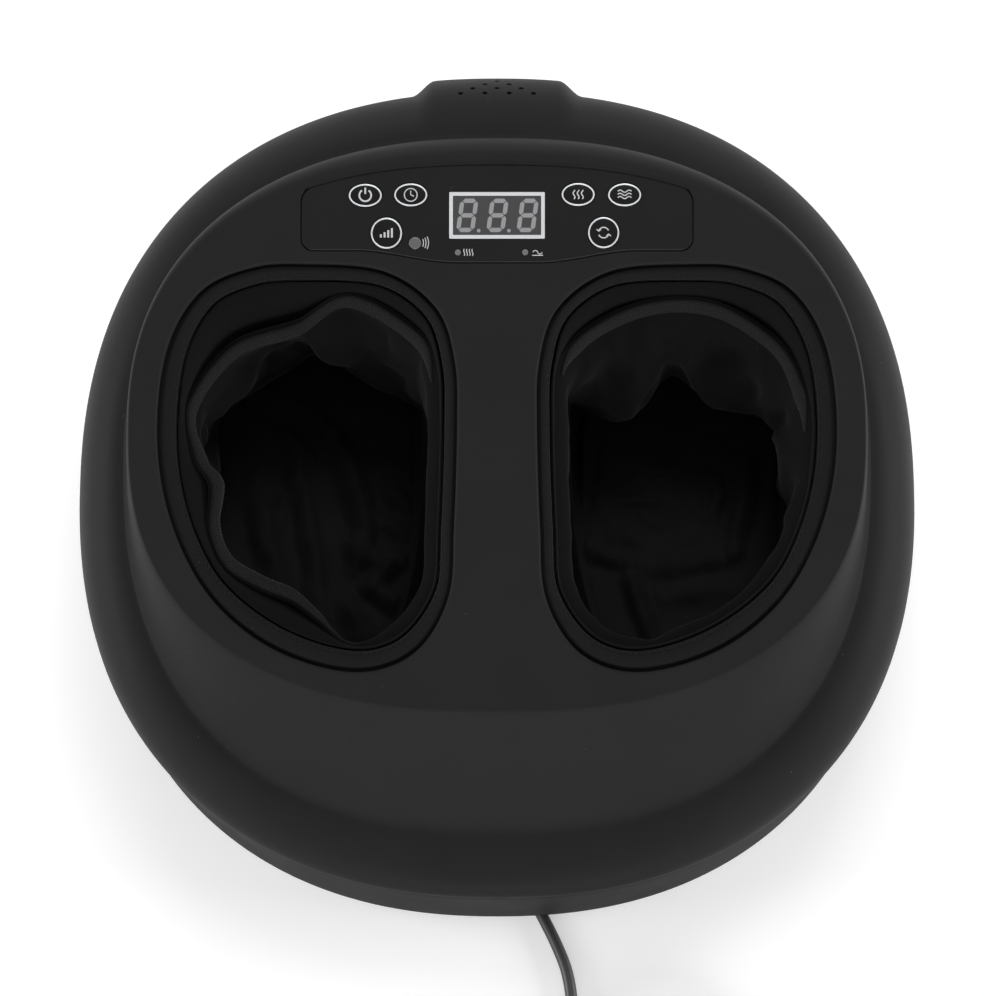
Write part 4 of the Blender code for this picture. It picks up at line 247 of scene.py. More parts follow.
plug_way = coil_place(COIL_TURNS) - coil_place(COIL_TURNS - 2 / COIL_STEPS)
plug_way.z = 0.0
plug_way.normalize()
coil = [coil_place(step / COIL_STEPS) for step in range(round(COIL_TURNS * COIL_STEPS) + 1)]
coil.append(coil[-1] + plug_way * CORD_DIAMETER)
cord_way = Vector((0.0, -math.cos(CORD_SLOPE), -math.sin(CORD_SLOPE)))
free_route = [CORD_EXIT, CORD_EXIT + cord_way * CORD_DIAMETER * 1.5,
              *[Vector(point) * MM for point in CORD_ROUTE], coil[0] + Vector((0, CORD_DIAMETER, 0))]
lead_path = evenly(spline_points(free_route, 6, False), 40, False) + coil
lead_curve = bpy.data.curves.new("mains_lead", "CURVE")
lead_curve.dimensions = "3D"
lead_curve.bevel_depth = CORD_DIAMETER / 2
lead_curve.bevel_resolution = 4
lead_curve.use_fill_caps = True
lead_spline = lead_curve.splines.new("POLY")
lead_spline.points.add(len(lead_path) - 1)
for target, point in zip(lead_spline.points, lead_path):
    target.co = (*point, 1.0)
lead_spline.use_smooth = True
lead = linked("mains_lead", lead_curve)


def shader_group(name, inputs, outputs):
    """An empty shader node group: the group, its number inputs and its result node."""
    group = bpy.data.node_groups.new(name, "ShaderNodeTree")
    for label, value in inputs:
        socket = group.interface.new_socket(label, in_out="INPUT", socket_type="NodeSocketFloat")
        socket.default_value = value
    for label, kind in outputs:
        group.interface.new_socket(label, in_out="OUTPUT", socket_type="NodeSocket" + kind)
    return group, add_node(group, "NodeGroupInput").outputs, add_node(group, "NodeGroupOutput")


def make_moulded_grain():
    """The spark-eroded grain of a moulded surface, and a slow mottle for its colour and gloss."""
    group, given, result = shader_group(
        "moulded_grain", (("Grain Size", 0.5 * MM), ("Depth", 0.02 * MM)),
        (("Normal", "Vector"), ("Mottle", "Float")))
    place = shade(group, "TexCoord", output="Object")
    scale = shade(group, "Math", {0: 1.0, 1: given["Grain Size"]}, operation="DIVIDE")
    fine = shade(group, "TexNoise", {"Vector": place, "Scale": scale, "Detail": 2.0})
    slow = shade(group, "TexNoise", {"Vector": place, "Scale": 28.0, "Detail": 4.0, "Roughness": 0.6})
    feed(group, result, {"Normal": shade(group, "Bump", {"Distance": given["Depth"], "Height": fine}),
                         "Mottle": slow})
    return group


def make_dust():
    """Sparse pale specks that have settled on a surface."""
    group, given, result = shader_group("dust", (("Spacing", 12 * MM), ("Speck", 0.04)),
                                        (("Mask", "Float"),))
    scale = shade(group, "Math", {0: 1.0, 1: given["Spacing"]}, operation="DIVIDE")
    cells = shade(group, "TexVoronoi", {"Vector": shade(group, "TexCoord", output="Object"),
                                        "Scale": scale}, output="Distance")
    feed(group, result, {"Mask": shade(group, "Math", {0: cells, 1: given["Speck"]},
                                       operation="LESS_THAN")})
    return group


moulded_grain = make_moulded_grain()
dust = make_dust()


def mixed(tree, share, first, second):
    """One colour or the other by a share."""
    colours = {socket: value if isinstance(value, bpy.types.NodeSocket) else (*value, 1.0)
               for socket, value in ((6, first), (7, second))}
    return shade(tree, "Mix", {0: share, **colours}, output=2, data_type="RGBA")


def scaled(colour, share):
    return [value * share for value in colour]


COLOUR_MOTTLE = 0.14
GLOSS_MOTTLE = 0.08
DUST_GREY = (0.16, 0.16, 0.16)


def moulded_finish(name, colour, roughness, grain=0.5 * MM, depth=0.02 * MM, specular=0.5,
                   metallic=0.0, specks=0.0):
    """A moulded or rolled surface: fine grain, slow mottle in its colour and gloss, some dust."""
    finish, tree, shader = new_finish(name, {"Specular IOR Level": specular, "Metallic": metallic})
    surface = add_node(tree, "ShaderNodeGroup", {"Grain Size": grain, "Depth": depth},
                       node_tree=moulded_grain).outputs
    colour = mixed(tree, surface["Mottle"], scaled(colour, 1 - COLOUR_MOTTLE),
                   scaled(colour, 1 + COLOUR_MOTTLE))
    if specks:
        settled = shade(tree, "Group", {"Speck": specks}, node_tree=dust)
        colour = mixed(tree, settled, colour, DUST_GREY)
    gloss = shade(tree, "MapRange", {"Value": surface["Mottle"], "From Min": 0.3, "From Max": 0.7,
                                     "To Min": roughness * (1 - GLOSS_MOTTLE),
                                     "To Max": roughness * (1 + GLOSS_MOTTLE)})
    feed(tree, shader, {"Base Color": colour, "Roughness": gloss, "Normal": surface["Normal"]})
    return finish


cord_black = moulded_finish("black_cord_pvc", CORD_BLACK, 0.45, 0.8 * MM, 0.03 * MM)
blade_metal = moulded_finish("plated_blades", BLADE_METAL, 0.28, 0.3 * MM, 0.004 * MM, metallic=1.0)
lead_curve.materials.append(cord_black)
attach(lead, "housing")
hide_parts("mains_cord", "cord_coil")


class Shell:
    """Gathers the points and faces of closed bodies, ring by ring."""

    def __init__(self):
        self.points = []
        self.faces = []

    def ring(self, points):
        start = len(self.points)
        self.points += [Vector(point) for point in points]
        return list(range(start, len(self.points)))

    def bridge(self, low, high):
        count = len(low)
        self.faces += [(low[i], low[(i + 1) % count], high[(i + 1) % count], high[i])
                       for i in range(count)]

    def rings(self, series):
        """Rings of points joined one to the next; gives the first and the last ring."""
        made = [self.ring(points) for points in series]
        for low, high in zip(made, made[1:]):
            self.bridge(low, high)
        return made[0], made[-1]

    def fill(self, *loops):
        """A flat face inside the first loop and outside the others."""
        order = [index for loop in loops for index in loop]
        places = [[self.points[index] for index in loop] for loop in loops]
        self.faces += [tuple(order[i] for i in corner) for corner in tessellate_polygon(places)]

    def loft(self, series):
        """A closed body through the rings, with both ends filled."""
        for end in self.rings(series):
            self.fill(end)
        return self

    def hoop(self, series):
        """A closed body through the rings, whose last ring joins the first."""
        first, last = self.rings(series)
        self.bridge(last, first)
        return self

    def pierce(self, top, bottom, holes):
        """Fill the two ends of a wall around holes, each given as rings from top to bottom."""
        ends = [self.rings(hole) for hole in holes]
        self.fill(top, *[end[0] for end in ends])
        self.fill(bottom, *[end[1] for end in ends])

    def mesh(self, name):
        """The mesh, with its faces pointing out."""
        mesh = bpy.data.meshes.new(name)
        mesh.from_pydata([tuple(point) for point in self.points], [], self.faces)
        shape = bmesh.new()
        shape.from_mesh(mesh)
        bmesh.ops.remove_doubles(shape, verts=shape.verts, dist=0.001 * MM)
        bmesh.ops.dissolve_degenerate(shape, edges=shape.edges, dist=0.001 * MM)
        bmesh.ops.recalc_face_normals(shape, faces=shape.faces)
        if shape.calc_volume(signed=True) < 0:
            bmesh.ops.reverse_faces(shape, faces=shape.faces)
        shape.to_mesh(mesh)
        shape.free()
        return mesh


def set_piece(name, shape, body, replaced, finish, sharp=35):
    """A finished piece of a Shell or a mesh: shaded, coloured, riding on a body and standing for
    its CAD nodes."""
    mesh = shape.mesh(name) if isinstance(shape, Shell) else shape
    mesh.shade_smooth()
    mesh.set_sharp_from_angle(angle=math.radians(sharp))
    piece = linked(name, mesh)
    mesh.materials.clear()
    mesh.materials.append(finish)
    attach(piece, body)
    if replaced:
        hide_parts(*replaced)
    return piece


def turned_rings(profile, steps=32):
    """Rings of a profile of (radius, height) in millimetres, turned about Z."""
    angles = [2 * math.pi * step / steps for step in range(steps)]
    return [[Vector((r * math.cos(a), r * math.sin(a), z)) * MM for a in angles] for r, z in profile]


def signed_power(value, power):
    return math.copysign(abs(value) ** power, value)


relief_frame = Matrix.Translation(RELIEF_PLACE) @ Matrix.Rotation(math.pi / 2 + CORD_SLOPE, 4, "X")
sleeve = [(2.85, -13.0), (2.85, -5.1), (6.6, -5.1), (7.0, -4.7), (7.0, -3.0), (6.6, -2.6),
          (5.0, -2.6), (5.0, 4.5)]
for groove in range(7):
    start = 5.6 + 2.6 * groove
    radius = 5.0 - 1.3 * start / 25
    sleeve += [(radius, start), (radius - 0.55, start + 0.25), (radius - 0.55, start + 1.1),
               (radius, start + 1.35)]
sleeve += [(3.7, 24.6), (3.4, 25.0)]
boot = Shell().loft([[relief_frame @ p for p in ring] for ring in turned_rings(sleeve)])
set_piece("relief_sleeve", boot, "housing", ["strain_relief"], cord_black)

plug_frame = Matrix.Translation(coil[-1] + plug_way * 0.3 * MM) @ Matrix(
    (Vector((0, 0, 1)).cross(plug_way), Vector((0, 0, 1)), plug_way)).transposed().to_4x4()
plug_stations = [(3.4, 3.4, 2.0, 0.0), (3.6, 3.6, 2.0, 0.4), (4.0, 4.0, 2.0, 10.0),
                 (4.4, 4.4, 2.0, 19.2), (5.3, 4.9, 2.2, 24.0), (7.3, 5.7, 2.5, 28.0),
                 (8.8, 6.2, 2.8, 31.5), (10.3, 6.9, 3.3, 36.5), (11.0, 7.3, 4.0, 41.0)]
for groove in range(3):
    start = 42.2 + 3.2 * groove
    plug_stations += [(wide, 7.3, 4.0, start + ahead)
                      for wide, ahead in ((11.0, 0.0), (10.5, 0.5), (10.5, 1.5), (11.0, 2.0))]
plug_stations += [(11.0, 7.3, 4.0, 52.5), (10.6, 6.9, 4.0, 53.6), (10.0, 6.3, 4.0, 54.0)]
plug_turns = [2 * math.pi * step / 48 for step in range(48)]
plug_body = Shell().loft([[plug_frame @ (Vector((wide * signed_power(math.cos(a), 2 / power),
                                                 thick * signed_power(math.sin(a), 2 / power),
                                                 height)) * MM) for a in plug_turns]
                          for wide, thick, power, height in plug_stations])
plug = set_piece("plug_body", plug_body, "housing", ["mains_plug"], cord_black)
for name, side in (("left_blade", -1), ("right_blade", 1)):
    across = side * BLADE_SPACING / 2
    bar = Shell().loft([
        [plug_frame @ Vector((across + x * (0.75 * MM - cut), y * (3.15 * MM - cut), height))
         for x, y in ((1, 1), (-1, 1), (-1, -1), (1, -1))]
        for cut, height in ((0.0, PLUG_END + 0.1 * MM), (0.0, PLUG_END + 15.2 * MM),
                            (0.45 * MM, PLUG_END + BLADE_REACH))])
    set_piece(name + "_plated", bar, "housing", [name], blade_metal, 20)


def rectangle(half_width, half_height, centre, corner, steps=6):
    """A rectangle with round corners, as Vectors."""
    points = []
    for turn, (x, y) in enumerate(((1, 1), (-1, 1), (-1, -1), (1, -1))):
        for step in range(steps + 1):
            angle = math.pi / 2 * (turn + step / steps)
            points.append(Vector((centre[0] + x * (half_width - corner) + corner * math.cos(angle),
                                  centre[1] + y * (half_height - corner) + corner * math.sin(angle))))
    return points


tie_out = Vector((math.cos(TIE_ANGLE), math.sin(TIE_ANGLE), 0.0))
tie_along = Vector((-tie_out.y, tie_out.x, 0.0))
held = [point - COIL_CENTRE for point in coil]
held = [(point.dot(tie_out), point.z) for point in held
        if abs(point.dot(tie_along)) < TIE_WIDTH and point.dot(tie_out) > 0]
tie_low, tie_high = ([end(values) for values in zip(*held)] for end in (min, max))
tie_middle = [(low + high) / 2 for low, high in zip(tie_low, tie_high)]
tie_half = [(high - low) / 2 + CORD_DIAMETER / 2 + 0.4 * MM for low, high in zip(tie_low, tie_high)]
strap_rings = []
for grow, shift in ((0.0, -0.92), (0.0, 0.92), (0.08, 1.0), (0.72, 1.0), (0.8, 0.92), (0.8, -0.92),
                    (0.72, -1.0), (0.08, -1.0)):
    outline = rectangle(tie_half[0] + grow * MM, tie_half[1] + grow * MM, tie_middle,
                        CORD_DIAMETER / 2 + grow * MM, 8)
    strap_rings.append([COIL_CENTRE + tie_out * p.x + tie_along * shift * TIE_WIDTH / 2
                        + Vector((0, 0, p.y)) for p in outline])
tie = set_piece("coil_strap", Shell().hoop(strap_rings), "housing", ["cord_tie"],
                cord_black)

# The top cover. One moulded black shell: a shoulder that rises from the seam, a pod with a concave
# wall, the tilted deck with its two foot wells and the panel's seat, and the vent hump at the rear.
HALF_WIDTH = 193.5 * MM
FRONT_HALF = 189.9 * MM
REAR_HALF = 185.2 * MM
OUTLINE_POWER = 2.245
WALL = 3.0 * MM
CLEARANCE = 0.3 * MM
SEAM_HEIGHT = 72.0 * MM
POD_HALF_WIDTH = 168.0 * MM
POD_FRONT_HALF = 157.0 * MM
POD_REAR_HALF = 138.2 * MM
POD_CENTRE_Y = -7.7 * MM
POD_POWER = 2.35
POD_FOOT_LEVELS = (85.0 * MM, 132.0 * MM, 184.0 * MM)
SHOULDER_POWER = 2.2
SHOULDER_STEPS = 26
POD_WALL_STEPS = 26
POD_WALL_END = 0.97
POD_FILLETS = (9.0 * MM, 4.0 * MM, 2.0 * MM)
ROLL_FRONT = 3.0 * MM
ROLL_REAR = 17.0 * MM
ROLL_RISE = 0.12
DECK_TILT = math.radians(19)
DECK_UP = Vector((0.0, -math.sin(DECK_TILT), math.cos(DECK_TILT)))
DECK_Y = -2.7 * MM
DECK_Z = 176.0 * MM
DECK_HALF_WIDTH = 160.7 * MM
DECK_HALF_LENGTH = 120.093 * MM
DECK_CENTRE_S = -5.024 * MM
DECK_POWER = 2.45
DECK_EDGE_ROUND = 1.6 * MM
HUMP_REACH = 7.0 * MM
HUMP_FLAT = 29.0 * MM
HUMP_FOOT = 40.0 * MM
HUMP_START = (2, 18)
HUMP_END = (72, 89)
VENT_RADIUS = 1.2
VENT_DEPTH = 6.0
VENT_PITCH = 11.0 * MM
VENT_ROWS = ((4, 71.0), (3, 66.5), (2, 62.0), (1, 57.5))
WELL_CENTRE_X = 83.0 * MM
WELL_CENTRE_S = -19.32 * MM
WELL_HALF_WIDTH = 65.5 * MM
WELL_HALF_LENGTH = 89.19 * MM
WELL_SHARES = ((1.00, 0.13), (0.94, 0.57), (0.72, 0.86), (0.38, 0.98), (0.02, 1.0), (-0.51, 0.965),
               (-0.86, 0.785), (-0.985, 0.52), (-1.0, 0.20), (-0.98, -0.28), (-0.94, -0.64),
               (-0.71, -0.91), (-0.31, -1.0), (0.22, -0.89), (0.64, -0.64), (0.90, -0.28))
WELL_WIDER = (0.22, 0.45)
WELL_HEEL = (0.5, 0.95)
WELL_LIP = 1.5 * MM
WELL_STEPS = 192
PANEL_HALF_WIDTH = 85.7 * MM
PANEL_CORNER = 5.5 * MM
PANEL_TOP_MARGIN = 1.4 * MM
PANEL_MIDDLE_S = 70.369 * MM
PANEL_DIP = 5.3 * MM
PANEL_DIP_RUN = (0.21, 0.72)
PANEL_SUNK = 0.3 * MM
PANEL_THICK = 1.3 * MM
PANEL_LEDGE = 1.5 * MM
SEAT_LIP = 0.35 * MM
COVER_STEPS = 288
TONGUE_REACH = 3.2 * MM
TONGUE_INSET = 4.8 * MM
HOUSING_BLACK = (0.0195, 0.0195, 0.0199)


def superellipse(angle, half_width, front, rear, power, centre_y=0.0):
    """A point of a rounded outline whose front and rear halves may differ in reach."""
    sine = math.sin(angle)
    return Vector((half_width * signed_power(math.cos(angle), 2 / power),
                   centre_y + (rear if sine > 0 else front) * signed_power(sine, 2 / power)))


def seam_point(angle, inset, height):
    place = superellipse(angle, HALF_WIDTH - inset, FRONT_HALF - inset, REAR_HALF - inset,
                         OUTLINE_POWER)
    return Vector((place.x, place.y, height))


def deck_point(x, s, n=0.0):
    """World place of a point given across the deck, up its slope and square to it."""
    return Vector((x, DECK_Y + s * math.cos(DECK_TILT) - n * math.sin(DECK_TILT),
                   DECK_Z + s * math.sin(DECK_TILT) + n * math.cos(DECK_TILT)))


def on_deck(outline, n):
    return [deck_point(p.x, p.y, n) for p in outline]


def pod_foot(angle):
    """The line where the pod rises out of the shoulder, highest at the rear."""
    place = superellipse(angle, POD_HALF_WIDTH, POD_FRONT_HALF, POD_REAR_HALF, POD_POWER,
                         POD_CENTRE_Y)
    ahead = place.y - POD_CENTRE_Y
    share = ahead / (POD_REAR_HALF if ahead > 0 else POD_FRONT_HALF)
    low, middle, high = POD_FOOT_LEVELS
    rise = middle + (high - low) / 2 * share + (high + low - 2 * middle) / 2 * share * share
    return Vector((place.x, place.y, rise))


def deck_edge(angle, inset=0.0):
    place = superellipse(angle, DECK_HALF_WIDTH - inset, DECK_HALF_LENGTH - inset,
                         DECK_HALF_LENGTH - inset, DECK_POWER, DECK_CENTRE_S)
    return deck_point(place.x, place.y)


def hump(x, shoulder_angle):
    """How far the vent hump stands out of the rear wall, above a point of the seam."""
    degrees = math.degrees(shoulder_angle)
    return (HUMP_REACH * (1 - ease(HUMP_FLAT, HUMP_FOOT, abs(x)))
            * ease(HUMP_START[0], HUMP_START[1], degrees)
            * (1 - ease(HUMP_END[0], HUMP_END[1], degrees)))


def shoulder_point(angle, shoulder_angle):
    """A point between the seam and the pod, on a quarter of a rounded outline."""
    power = 2 / SHOULDER_POWER
    inward = 1 - max(math.cos(shoulder_angle), 0.0) ** power
    upward = math.sin(shoulder_angle) ** power
    rim = seam_point(angle, 0.0, SEAM_HEIGHT)
    foot = pod_foot(angle)
    place = Vector((rim.x + (foot.x - rim.x) * inward, rim.y + (foot.y - rim.y) * inward,
                    SEAM_HEIGHT + (foot.z - SEAM_HEIGHT) * upward))
    if place.y > 0:
        place.y += hump(rim.x, shoulder_angle)
    return place


def pod_wall_point(angle, share):
    """A point of the pod's wall, from its foot up to the edge of the deck."""
    front = max(-math.sin(angle), 0.0) ** 2
    rear = max(math.sin(angle), 0.0) ** 2
    fillet = (POD_FILLETS[0] * front + POD_FILLETS[1] * (1 - front - rear)
              + POD_FILLETS[2] * rear)
    roll = ROLL_FRONT + (ROLL_REAR - ROLL_FRONT) * rear
    power = 2 - 2 / POD_POWER
    out = Vector((signed_power(math.cos(angle), power) / POD_HALF_WIDTH,
                  signed_power(math.sin(angle), power) / POD_REAR_HALF, 0.0)).normalized()
    start = pod_foot(angle)
    end = deck_edge(angle)
    leave = start - out * fillet
    arrive = end + out * roll + Vector((0, 0, roll * ROLL_RISE * rear))
    rest = 1 - share
    return (start * rest ** 3 + leave * 3 * rest ** 2 * share
            + arrive * 3 * rest * share ** 2 + end * share ** 3)


def cover_angles():
    """Even steps around the cover, three times closer where the hump stands."""
    result = []
    for step in range(COVER_STEPS):
        angle = 2 * math.pi * step / COVER_STEPS
        beside = abs(seam_point(angle, 0.0, 0.0).x)
        parts = 3 if math.sin(angle) > 0 and beside < HUMP_FOOT + HUMP_REACH else 1
        result += [angle + 2 * math.pi * part / parts / COVER_STEPS for part in range(parts)]
    return result


def offset_outline(points, distances):
    """Move each point of a closed plane outline inwards, by one distance or its own."""
    count = len(points)
    distances = distances if isinstance(distances, list) else [distances] * count
    area = sum(points[i].x * points[(i + 1) % count].y - points[(i + 1) % count].x * points[i].y
               for i in range(count))
    turn = 1.0 if area > 0 else -1.0
    result = []
    for index in range(count):
        along = points[(index + 1) % count] - points[index - 1]
        inward = Vector((-along.y, along.x)).normalized() * turn
        result.append(points[index] + inward * distances[index])
    return result


def well_outline(side, width=0.0, inset=0.0, count=WELL_STEPS):
    """The edge of a foot well in the deck's axes, moved inwards by a width that is larger on its
    outer side and at the heel, plus a plain inset."""
    corners = [(side * (WELL_CENTRE_X + u * WELL_HALF_WIDTH), WELL_CENTRE_S + v * WELL_HALF_LENGTH)
               for u, v in WELL_SHARES]
    points = evenly(spline_points(corners, 24, True), count, True)
    distances = []
    for p in points:
        outer = (abs(p.x) - WELL_CENTRE_X) / WELL_HALF_WIDTH
        heel = ease(*WELL_HEEL, (WELL_CENTRE_S - p.y) / WELL_HALF_LENGTH)
        distances.append(width * (1 + WELL_WIDER[0] * outer + WELL_WIDER[1] * heel) + inset)
    return offset_outline(points, distances)


def panel_top(x):
    """How far up the slope the panel reaches: a margin below the rear edge of the deck."""
    edge = 1 - abs(x / DECK_HALF_WIDTH) ** DECK_POWER
    return DECK_CENTRE_S + DECK_HALF_LENGTH * edge ** (1 / DECK_POWER) - PANEL_TOP_MARGIN


def panel_bottom(x):
    return PANEL_MIDDLE_S + PANEL_DIP * ease(*PANEL_DIP_RUN, abs(x) / PANEL_HALF_WIDTH)


def panel_outline(inset, steps=60):
    """The panel's edge in the deck's axes: its top follows the deck edge, its bottom dips."""
    half = PANEL_HALF_WIDTH - inset
    flat = half - PANEL_CORNER
    rounds = [90 - 10 * step for step in range(9)]
    stations = [flat + PANEL_CORNER * math.sin(math.radians(a)) for a in rounds]
    stations += [flat - 2 * flat * step / steps for step in range(steps + 1)]
    stations += [-x for x in reversed(stations[:9])]
    top = []
    bottom = []
    for x in stations:
        beyond = max(abs(x) - flat, 0.0)
        drop = PANEL_CORNER - math.sqrt(max(PANEL_CORNER ** 2 - beyond ** 2, 0.0))
        top.append(Vector((x, panel_top(x) - inset - drop)))
        bottom.append(Vector((x, panel_bottom(x) + inset + drop)))
    return top + bottom[::-1]


def lip(outline, top, round_off, bottom, steps=5):
    """Loops down a hole's edge in the deck's axes: a level strip, a rounded lip and the wall."""
    turns = [math.pi / 2 * step / steps for step in range(steps + 1)]
    rounds = [(round_off * (1 - math.sin(a)), round_off * (1 - math.cos(a))) for a in turns]
    return [on_deck(offset_outline(outline, -out), top - drop)
            for out, drop in [(round_off * 1.25, 0.0), *rounds]] + [on_deck(outline, bottom)]


cover = Shell()
around = cover_angles()
quarter = math.pi / 2
# The skin: from the seam over the shoulder, up the pod's wall and round the edge of the deck.
skin = [[seam_point(a, inset * MM, SEAM_HEIGHT + rise * MM) for a in around]
        for inset, rise in ((0.5, 0.0), (0.15, 0.15), (0.0, 0.5))]
skin += [[shoulder_point(a, quarter * step / SHOULDER_STEPS) for a in around]
         for step in range(2, SHOULDER_STEPS + 1)]
skin += [[pod_wall_point(a, step / POD_WALL_STEPS * POD_WALL_END) for a in around]
         for step in range(1, POD_WALL_STEPS)]
edge_round = [(pod_wall_point(a, POD_WALL_END + 0.005), deck_edge(a), deck_edge(a, DECK_EDGE_ROUND))
              for a in around]
for share in (0.0, 0.25, 0.5, 0.75, 1.0):
    skin.append([a * (1 - share) ** 2 + b * 2 * share * (1 - share) + c * share ** 2
                 for a, b, c in edge_round])
skin.append([deck_edge(a, DECK_EDGE_ROUND * 1.3) for a in around])
outer_seam, outer_deck = cover.rings(skin)
# The inside: the same form, a wall's thickness further in.
inner_levels = [[seam_point(a, WALL, SEAM_HEIGHT) for a in around]]
inner_levels += [[shoulder_point(a, quarter * step / 8) for a in around] for step in range(1, 9)]
inner_levels += [[pod_wall_point(a, step / 10) for a in around] for step in range(1, 9)]
inner = Shell()
inner.rings(inner_levels)
inner_mesh = bpy.data.meshes.new("inner")
inner_mesh.from_pydata(inner.points, [], inner.faces)
inner_normals = [normal.vector.copy() for normal in inner_mesh.vertex_normals]
bpy.data.meshes.remove(inner_mesh)
outwards = 1.0 if inner_normals[0].x > 0 else -1.0
inner_rings = [inner_levels[0]]
for row in range(1, len(inner_levels)):
    inner_rings.append([point - inner_normals[row * len(around) + i] * WALL * outwards
                        for i, point in enumerate(inner_levels[row])])
inner_rings.append([deck_edge(a, 2.5 * WALL) - DECK_UP * WALL for a in around])
inner_seam, inner_deck = cover.rings(inner_rings)
cover.bridge(outer_seam, inner_seam)
# The openings of the deck: both foot wells, and the panel's seat with its ledge.
seat_depth = -PANEL_SUNK - PANEL_THICK - CLEARANCE
seat_hole = panel_outline(PANEL_LEDGE)
seat = lip(panel_outline(-CLEARANCE), 0.0, SEAT_LIP, seat_depth, 3)
seat += [on_deck(seat_hole, seat_depth), on_deck(seat_hole, -WALL)]
cover.pierce(outer_deck, inner_deck, [
    *[lip(well_outline(side), 0.0, WELL_LIP, -WALL) for side in (-1, 1)], seat])
# The tongue under the seam, which stands inside the pan's rim.
tongue_outer = TONGUE_INSET + WALL / 2
cover.hoop([[seam_point(a, inset, SEAM_HEIGHT + rise) for a in around] for inset, rise in (
    (WALL / 2, CLEARANCE), (TONGUE_INSET, CLEARANCE), (TONGUE_INSET, -TONGUE_REACH),
    (tongue_outer, -TONGUE_REACH), (tongue_outer, WALL), (WALL / 2, WALL))])


def vent_places():
    """Where each vent stands and which way it faces, four in the top row down to one."""
    places = []
    for count, degrees in VENT_ROWS:
        lower, upper = (shoulder_point(quarter, math.radians(degrees + off)) for off in (-1, 1))
        slope = (upper - lower).normalized()
        for index in range(count):
            x = (index - (count - 1) / 2) * VENT_PITCH
            places.append(((lower + upper) / 2 + Vector((x, 0, 0)),
                           Vector((0.0, slope.z, -slope.y)), (1, 0, 0)))
    return places


def make_spread_tree():
    """Copies of a piece on points, each turned by the point's own two directions."""
    tree = bpy.data.node_groups.new("spread_on_points", "GeometryNodeTree")
    for socket, kind, way_in in (("Places", "NodeSocketGeometry", "INPUT"),
                                 ("Piece", "NodeSocketObject", "INPUT"),
                                 ("Finish", "NodeSocketMaterial", "INPUT"),
                                 ("Size", "NodeSocketFloat", "INPUT"),
                                 ("Copies", "NodeSocketGeometry", "OUTPUT")):
        tree.interface.new_socket(socket, in_out=way_in, socket_type=kind)
    given = add_node(tree, "NodeGroupInput").outputs
    piece = add_node(tree, "GeometryNodeObjectInfo", {"Object": given["Piece"]})
    up, along = (add_node(tree, "GeometryNodeInputNamedAttribute", {"Name": name},
                          data_type="FLOAT_VECTOR").outputs[0] for name in ("up", "along"))
    stood = add_node(tree, "FunctionNodeAlignRotationToVector", {"Vector": up}, axis="Z")
    turned = add_node(tree, "FunctionNodeAlignRotationToVector", {
        "Rotation": stood.outputs[0], "Vector": along}, axis="X", pivot_axis="Z")
    copies = add_node(tree, "GeometryNodeInstanceOnPoints", {
        "Points": given["Places"], "Instance": piece.outputs["Geometry"],
        "Rotation": turned.outputs[0], "Scale": given["Size"]})
    real = add_node(tree, "GeometryNodeRealizeInstances", {"Geometry": copies.outputs[0]})
    finish = add_node(tree, "GeometryNodeSetMaterial", {"Geometry": real.outputs[0],
                                                        "Material": given["Finish"]})
    feed(tree, add_node(tree, "NodeGroupOutput"), {0: finish.outputs[0]})
    return tree


spread_tree = make_spread_tree()


def finished_mesh(thing, *helpers):
    """The mesh that an object's modifiers make; the object and its helpers are removed."""
    made = bpy.data.meshes.new_from_object(
        thing.evaluated_get(bpy.context.evaluated_depsgraph_get()))
    for used in (thing, *helpers):
        bpy.data.objects.remove(used)
    return made


def spread_on_points(name, places, piece_mesh, finish):
    """One plain mesh of a piece repeated at places of (point, up, along)."""
    carrier_mesh = bpy.data.meshes.new(name + "_places")
    carrier_mesh.from_pydata([tuple(place[0]) for place in places], [], [])
    for row, label in ((1, "up"), (2, "along")):
        stored = carrier_mesh.attributes.new(label, "FLOAT_VECTOR", "POINT")
        for index, place in enumerate(places):
            stored.data[index].vector = place[row]
    carrier = linked(name + "_places", carrier_mesh)
    pattern = linked(name + "_pattern", piece_mesh)
    modifier = carrier.modifiers.new("copies", "NODES")
    modifier.node_group = spread_tree
    for socket, value in (("Piece", pattern), ("Finish", finish), ("Size", 1.0)):
        modifier[spread_tree.interface.items_tree[socket].identifier] = value
    made = finished_mesh(carrier, pattern)
    made.name = name
    return made


def cut_away(mesh, cutter_mesh, operation="DIFFERENCE"):
    """The mesh after a Boolean with another one."""
    piece = linked("cut_piece", mesh)
    modifier = piece.modifiers.new("cut", "BOOLEAN")
    modifier.operation = operation
    modifier.solver = "EXACT"
    modifier.object = linked("cutter", cutter_mesh)
    return finished_mesh(piece, modifier.object)


def turned_mesh(name, profile, steps=32):
    """A closed body turned about Z from a profile of (radius, height) in millimetres."""
    return Shell().loft(turned_rings(profile, steps)).mesh(name)


housing_black = moulded_finish("matte_black_cover", HOUSING_BLACK, 0.52, 0.45 * MM, 0.022 * MM,
                               specular=0.03, specks=0.016)
vent_punch = turned_mesh("vent_punch", ((VENT_RADIUS, -VENT_DEPTH), (VENT_RADIUS, VENT_DEPTH)), 24)
vents = spread_on_points("vents", vent_places(), vent_punch, housing_black)
set_piece("cover_shell", cut_away(cover.mesh("cover_shell"), vents), "housing", ["top_cover"],
          housing_black, 30)

